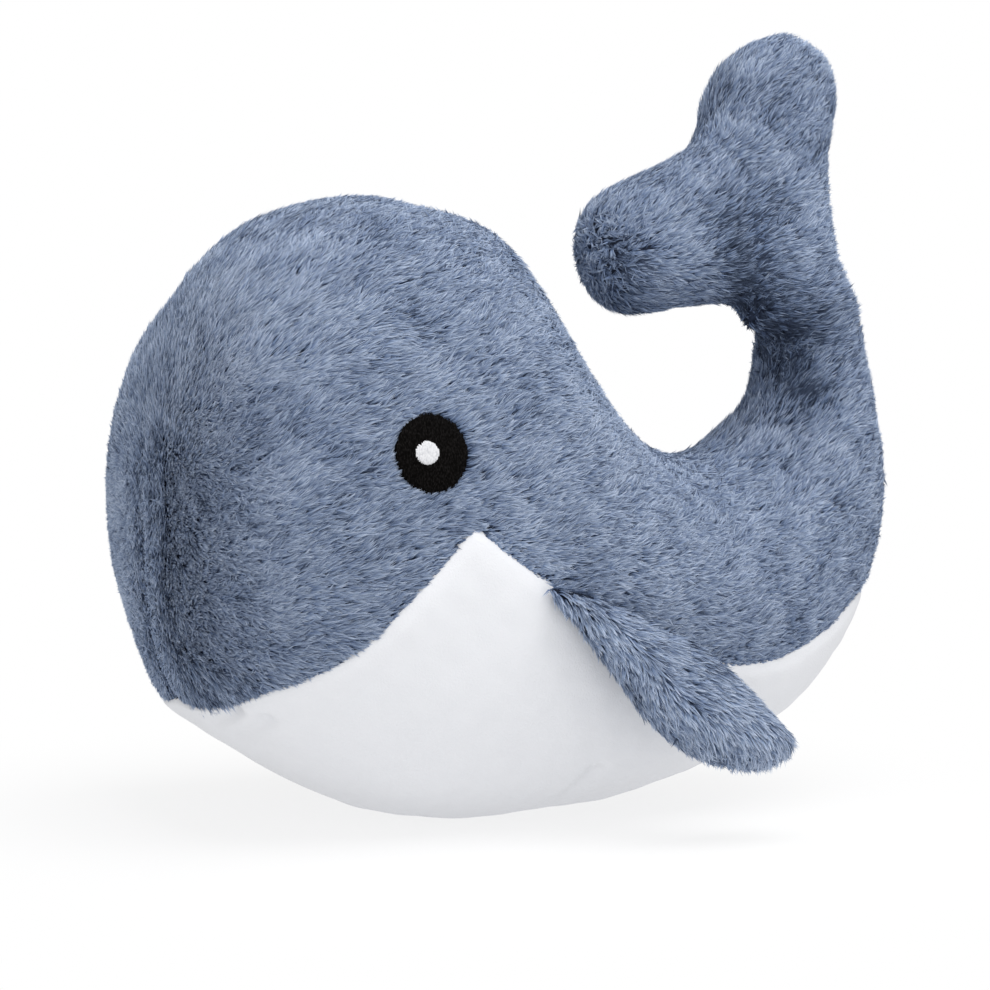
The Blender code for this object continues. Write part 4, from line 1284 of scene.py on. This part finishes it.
# %% Fin shape
FIN_LENGTH = 0.086
FIN_HALF_THICKNESS = 0.0068
FIN_ROUND = 0.0085
FIN_ROOT_TAPER = 0.030
FIN_OPEN = math.radians(25.0)
FIN_SLOPE = math.radians(13.8)
FIN_EDGE = 0.0022
SEAM_GAP = 0.0003
FIN_ROOT_RING = 6.35
FIN_OUTLINE_SHARES = (
    (0.015, 0.010), (0.110, 0.004), (0.205, 0.012), (0.400, 0.064), (0.590, 0.098), (0.730, 0.172),
    (0.820, 0.235), (0.905, 0.300), (0.985, 0.370), (0.985, 0.430), (0.905, 0.490), (0.800, 0.515),
    (0.650, 0.512), (0.520, 0.468), (0.415, 0.402), (0.325, 0.315), (0.225, 0.222), (0.125, 0.130),
    (0.030, 0.050),
)
FIN_MIDDLE_SHARE = (0.55, 0.27)
FIN_LOWER_EDGE = slice(10, 19)
FIN_NAP = math.radians(14.0)
FIN_TIP_NAP = math.radians(32.0)
FIN_EDGE_NAP = math.radians(62.0)
FIN_PARTING = 0.0092
FIN_TIP_START = 0.4
FIN_PILE = 0.0012
FIN_CONTRAST = 1.6


def fin_frame():
    """Front end of the left fin's root seam, the way along it, the way down the fin, and its normal."""
    turn = math.pi - white_half_turn(FIN_ROOT_RING)
    seat, normal = surface(FIN_ROOT_RING, turn), outward(FIN_ROOT_RING, turn)
    level = unit(np.cross(normal, (0, 0, 1)))
    level = level if level[0] > 0 else -level
    down = unit(np.cross(level, normal))
    down = down if down[2] < 0 else -down
    along = math.cos(FIN_SLOPE) * level + math.sin(FIN_SLOPE) * down
    across = math.cos(FIN_SLOPE) * down - math.sin(FIN_SLOPE) * level
    away = math.cos(FIN_OPEN) * across + math.sin(FIN_OPEN) * normal
    facing = unit(np.cross(along, away))
    facing = facing if facing[1] < 0 else -facing
    return seat + (FIN_EDGE / 2 + SEAM_GAP) * normal, along, away, facing


def fin_taper(flat):
    """One over most of the fin, and thinner towards the root seam."""
    return np.sqrt(np.clip(flat[..., 1] / FIN_ROOT_TAPER, 0.05, 1))


FIN_FRAME = fin_frame()
print("fin hangs from", np.round(FIN_FRAME[0], 4))


# %% Fin pieces
def combed_fin(points, normals):
    """Along the fin turned towards its lower edge, more at the tip and most below the parting."""
    origin, along, away, _ = FIN_FRAME
    flat = np.stack([(points - origin) @ along, (points - origin) @ away], -1)
    lower = closed_curve(np.array(FIN_OUTLINE_SHARES) * FIN_LENGTH, len(FIN_OUTLINE_SHARES))[FIN_LOWER_EDGE]
    gap = edge_distance(flat, lower[:-1], lower[1:])
    below = np.clip((FIN_PARTING - gap) / (0.3 * FIN_PARTING) + 0.5, 0, 1)
    tip = np.clip(flat[:, 0] / FIN_LENGTH - FIN_TIP_START, 0, 1 - FIN_TIP_START) / (1 - FIN_TIP_START)
    angle = FIN_NAP + (FIN_TIP_NAP - FIN_NAP) * tip
    angle = angle + (FIN_EDGE_NAP - angle) * below
    return np.cos(angle)[:, None] * along + np.sin(angle)[:, None] * away


def fin_pieces():
    outline = closed_curve(np.array(FIN_OUTLINE_SHARES) * FIN_LENGTH, PAD_POINTS)
    middle = np.array(FIN_MIDDLE_SHARE) * FIN_LENGTH
    flat, height = pad(outline, middle, FIN_HALF_THICKNESS, FIN_ROUND, fin_taper)
    grid = in_space(flat, height, FIN_FRAME)
    points = grid.reshape(-1, 3)
    quads = grid_quads(*grid.shape[:2], wrap=True)
    turned = outside_out(points, quads)
    normals = grid_normals(grid, wrap=True).reshape(-1, 3)
    if turned is not quads:
        normals = -normals
    points = points - FIN_PILE * normals
    far_side = np.array((1, -1, 1))

    def combed_far(places, directions):
        return combed_fin(places * far_side, directions * far_side) * far_side

    made = [furred("fin_left_fur", points, normals, turned, combed_fin, 401, contrast=FIN_CONTRAST),
            furred("fin_right_fur", points * far_side, normals * far_side, turned[:, ::-1], combed_far, 402,
                   contrast=FIN_CONTRAST)]
    for side, piece in zip(("left", "right"), made):
        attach(piece, f"fin_{side}")
        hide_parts(*(f"fin_{side}_{part}" for part in ("outer_panel", "inner_panel", "stuffing")))
    return made


FINS = fin_pieces()

# %% [markdown]
# ## Sewn eyes
#
# An embroidered eye is a field of stitches laid side by side, so it is built as one: every thread is a
# low round ridge that runs up the eye, dips where the needle went down, and ends a little short or long
# of its neighbours. That gives the eye its fine upright grain and its toothed edge. A plain black disc
# lies under the threads to close the gaps. The highlight is a smaller field of white thread on top.

# %% Thread finishes
BLACK_COLOUR = (0.0020, 0.0017, 0.0016, 1.0)
# Lighter specks on the black thread: painted sheen
BLACK_SHEEN_SPECK_COLOUR = (0.0130, 0.0118, 0.0116, 1.0)
WHITE_COLOUR = (0.730, 0.732, 0.750, 1.0)
WHITE_WORN_COLOUR = (0.560, 0.565, 0.590, 1.0)


def thread_finish(name, plain, speck_colour):
    """The thread's colour with faint specks of a second colour along it, painted sheen on black thread, and a
    fine twist as a bump.
    """
    made, shader, wire = new_finish(name, 0.60, specular=0.02)
    place = wire.node("ShaderNodeTexCoord", out=3)
    drawn = wire.node("ShaderNodeMapping", {}, {"Vector": place, "Scale": (1.0, 1.0, 0.5)})
    fibre = wire.node("ShaderNodeTexNoise", {}, {"Vector": drawn, "Scale": 2600.0, "Detail": 2.0})
    ends = {"Value": fibre, "From Min": 0.46, "From Max": 0.72}
    share = wire.node("ShaderNodeMapRange", {}, ends)
    link(wire.mix(share, plain, speck_colour), shader, "Base Color")
    height = {"Height": fibre, "Strength": 0.4, "Distance": 0.00008}
    link(wire.node("ShaderNodeBump", {}, height), shader, "Normal")
    return made


BLACK_THREAD = thread_finish("black_thread", BLACK_COLOUR, BLACK_SHEEN_SPECK_COLOUR)
WHITE_THREAD = thread_finish("white_thread", WHITE_COLOUR, WHITE_WORN_COLOUR)
print("made", BLACK_THREAD.name, WHITE_THREAD.name)

# %% Fields of stitches
THREAD_PITCH = 0.00050
THREAD_HEIGHT = 0.00030
STITCH_LENGTH = 0.0042
STITCH_DIP = 0.00014
EYE_LIFT = 0.0006
EYE_DOME = 0.0005
HIGHLIGHT_RADIUS = 0.0038
HIGHLIGHT_SHIFT = (-0.0008, 0.0014)
HIGHLIGHT_DOME = 0.0003
HIGHLIGHT_NOTCH = 0.0007
# How far the threads' ends fall short or long, in the eye and in its highlight
EYE_RAGGED = 0.0005
HIGHLIGHT_RAGGED = 0.00012
EYE_NARROW = 0.93
ALONG_POINTS = 90
ACROSS_POINTS = 5
THREAD_OVERLAP = 0.56
THREAD_MAP = 0.80
DIP_REACH = 0.07
NOTCH_PLACE = -0.50
NOTCH_REACH = 0.13
# The backing disc: points on a ring, rings, how uneven its rim is, and its place and size on the map
DISC_TURNS = 120
DISC_RINGS = 24
RIM_POWER = 24
RIM_RANDOM = 0.012
DISC_PLACE = 0.90
DISC_MAP = 0.08


def stitch_field(radius, shift, lift, dome, jitter, seed, notch=0.0):
    """Threads side by side across a disc. Height over the skin at a share s of the thread's half length:
    lift + dome * (1 - s^2 - x^2) + the thread's own half round - dips where the needle went down.
    """
    rng = np.random.default_rng(seed)
    count = int(2 * radius / THREAD_PITCH)
    x = (np.arange(count) + 0.5) / count * 2 - 1
    wide = radius * EYE_NARROW
    half = radius * np.sqrt(1 - x**2)
    top = half + jitter * rng.uniform(-1, 1, count)
    bottom = -half + jitter * rng.uniform(-1, 1, count)
    top = top - notch * bell(x - NOTCH_PLACE, NOTCH_REACH)
    s = np.linspace(0, 1, ALONG_POINTS)
    along = bottom[:, None] + (top - bottom)[:, None] * s
    edge = np.sqrt(np.clip(1 - (2 * s - 1) ** 8, 0, 1))
    offset = rng.uniform(0, STITCH_LENGTH, count)[:, None]
    phase = np.mod(along + offset, STITCH_LENGTH) / STITCH_LENGTH
    dip = STITCH_DIP * bell(phase - 0.5, DIP_REACH)
    arc = np.linspace(0, math.pi, ACROSS_POINTS)
    width = THREAD_PITCH * THREAD_OVERLAP * np.sqrt(edge)
    flat_x = (x * wide)[:, None, None] - np.cos(arc) * width[:, None]
    flat = np.stack([flat_x + shift[0], np.broadcast_to(along[..., None], flat_x.shape) + shift[1]], -1)
    level = dome * (1 - x[:, None] ** 2 - (2 * s - 1) ** 2).clip(0, 1) - dip
    rise = lift * edge[None, :, None] + level[..., None] * edge[None, :, None]
    rise = rise + np.sin(arc) * THREAD_HEIGHT * edge[None, :, None]
    return flat, rise


def sewn(name, flat, rise, finish, side, extra=None):
    """A field of threads laid on the skin of one side of the head."""
    points, normals = lay_on_skin(flat, EYE_RING, EYE_TURN)
    points = points + rise[..., None] * normals
    count, rows, columns = points.shape[:3]
    cell = grid_quads(rows, columns)
    quads = (cell + (np.arange(count) * rows * columns)[:, None, None]).reshape(-1, 4)
    shares = np.linspace(0, 1, rows), np.linspace(0.05, 0.95, columns)
    number, along, across = np.meshgrid(np.arange(count), *shares, indexing="ij")
    places = THREAD_MAP * np.stack([(number + across) / count, along], -1).reshape(-1, 2)
    points = points.reshape(-1, 3)
    if extra is not None:
        quads = np.concatenate([quads, extra[1] + len(points)])
        points = np.concatenate([points, extra[0]])
        places = np.concatenate([places, extra[2]])
    if side == "right":
        points, quads = points * (1, -1, 1), quads[:, ::-1]
    return mesh_object(name, points, quads, places=places, finish=finish)


def backing(radius, lift, seed):
    """A disc under the threads, on rings from its middle to its rim, with its rim turned down."""
    rng = np.random.default_rng(seed)
    turn = np.linspace(0, 2 * math.pi, DISC_TURNS, endpoint=False)
    share = np.linspace(0.001, 1, DISC_RINGS)[:, None]
    reach = radius * share * (1 + RIM_RANDOM * share * rng.uniform(-1, 1, DISC_TURNS))
    flat = np.stack([EYE_NARROW * reach * np.cos(turn), reach * np.sin(turn)], -1) + EYE_SHIFT
    points, normals = lay_on_skin(flat, EYE_RING, EYE_TURN)
    points = points + (lift - (lift + PILE_HEIGHT) * share**RIM_POWER)[..., None] * normals
    places = DISC_PLACE + DISC_MAP * (flat - EYE_SHIFT) / (1.02 * radius)
    return points.reshape(-1, 3), grid_quads(*points.shape[:2], wrap=True), places.reshape(-1, 2)


def eye_pieces():
    made = []
    for side in ("left", "right"):
        flat, rise = stitch_field(EYE_RADIUS, EYE_SHIFT, EYE_LIFT, EYE_DOME, EYE_RAGGED, 501)
        under = backing(EYE_RADIUS, EYE_LIFT, 502)
        disc = sewn(f"eye_{side}_stitches", flat, rise, BLACK_THREAD, side, under)
        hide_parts(f"eye_{side}_disc")
        lift = EYE_LIFT + EYE_DOME + THREAD_HEIGHT
        flat, rise = stitch_field(HIGHLIGHT_RADIUS, HIGHLIGHT_SHIFT, lift, HIGHLIGHT_DOME, HIGHLIGHT_RAGGED,
                                  503, notch=HIGHLIGHT_NOTCH)
        light = sewn(f"eye_{side}_light", flat, rise, WHITE_THREAD, side)
        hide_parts(f"eye_{side}_highlight")
        made += [disc, light]
    for piece in made:
        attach(piece, "trunk")
    print("eye pieces:", [(piece.name, 2 * len(piece.data.polygons)) for piece in made])


eye_pieces()

# %% [markdown]
# ## The fur pieces
#
# The fur pieces are gathered into one list, and their number is printed.

# %% Gather the fur pieces
FURRED = BACK + [TAIL_ROOT] + FLUKES + FINS
for stuffed in FURRED + [BELLY]:
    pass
print("fur pieces:", len(FURRED))

# %% [markdown]
# ## Floor and light
#
# The toy stands on a plain pale floor in soft light from all round, with a little more from above. The
# background is white because the world and the far floor are white to the camera. The floor also glows
# to every other ray, so it lights the toy from below like a lamp. Near the toy the floor keeps part of its
# own colour, so the toy's soft shadow still shows under it.

# %% Floor and world
FLOOR_SIZE = 6.0
FLOOR_DROP = 0.0003
FLOOR_COLOUR = (0.86, 0.86, 0.87, 1.0)
SHADOW_NEAR = 0.05
SHADOW_FAR = 0.24
SHADOW_SHARE = 0.25
# How brightly the floor glows to every ray: a glow that lights the toy from below
FLOOR_GLOW = 0.55
WORLD_LIGHT = 0.60


def seen_by_camera(wire):
    """One for the camera's own rays, mirrored and let through ones too, and zero for all others."""
    camera, mirrored, through = (wire.node("ShaderNodeLightPath", out=number) for number in (0, 3, 6))
    return wire.math("MINIMUM", camera + mirrored + through, 1.0)


def floor_material():
    """Plain floor near the toy, mixed towards white with the distance from it for the camera, and glowing to
    every other ray.
    """
    made = bpy.data.materials.new("floor")
    made.use_nodes = True
    tree = made.node_tree
    tree.nodes.clear()
    wire = Wire(tree)
    place = wire.node("ShaderNodeTexCoord", out=3)
    away = wire.node("ShaderNodeVectorMath", {"operation": "LENGTH"}, {0: place}, out=1)
    ends = {"Value": away, "From Min": SHADOW_NEAR, "From Max": SHADOW_FAR}
    spread = wire.node("ShaderNodeMapRange", {"interpolation_type": "SMOOTHSTEP"}, ends)
    mixing = seen_by_camera(wire) * (1 - SHADOW_SHARE - FLOOR_GLOW + SHADOW_SHARE * spread) + FLOOR_GLOW
    plain = wire.node("ShaderNodeBsdfDiffuse", {}, {"Color": FLOOR_COLOUR})
    white = wire.node("ShaderNodeEmission", {}, {"Color": (1, 1, 1, 1), "Strength": 1.0})
    mixed = wire.node("ShaderNodeMixShader", {}, {0: mixing, 1: plain, 2: white})
    out = tree.nodes.new("ShaderNodeOutputMaterial")
    tree.links.new(mixed.socket, out.inputs["Surface"])
    return made


def make_floor():
    corners = FLOOR_SIZE / 2 * np.array(((-1, -1), (1, -1), (1, 1), (-1, 1)))
    points = np.column_stack([corners, np.full(4, -FLOOR_DROP)])
    made = mesh_object("floor", points, np.array(((0, 1, 2, 3),)), finish=floor_material())
    return made


def make_world():
    """White to the camera, and a soft even light to everything else."""
    world = bpy.data.worlds.new("studio")
    world.use_nodes = True
    tree = world.node_tree
    tree.nodes.clear()
    wire = Wire(tree)
    strength = seen_by_camera(wire) * (1 - WORLD_LIGHT) + WORLD_LIGHT
    light = wire.node("ShaderNodeBackground", {}, {"Color": (1, 1, 1, 1), "Strength": strength})
    out = tree.nodes.new("ShaderNodeOutputWorld")
    tree.links.new(light.socket, out.inputs["Surface"])
    bpy.context.scene.world = world


make_floor()
make_world()

# %% Lamps
# One row a lamp: name, place, width, watts
LAMPS = (
    ("overhead", (0.10, -0.40, 1.00), 0.8, 8.0),
    ("front_fill", (-0.40, -1.10, 0.40), 0.8, 2.6),
)


def make_lamps():
    """Wide square lamps that face the toy."""
    for name, place, width, watts in LAMPS:
        data = bpy.data.lights.new(name, "AREA")
        data.size = width
        data.energy = watts
        lamp = bpy.data.objects.new(name, data)
        bpy.context.scene.collection.objects.link(lamp)
        lamp.location = place
        lamp.rotation_mode = "QUATERNION"
        lamp.rotation_quaternion = (Vector(place) - VIEW_TARGET).to_track_quat("Z", "Y")


make_lamps()
bpy.context.scene.view_settings.view_transform = "Standard"
print("lamps:", [lamp[0] for lamp in LAMPS])
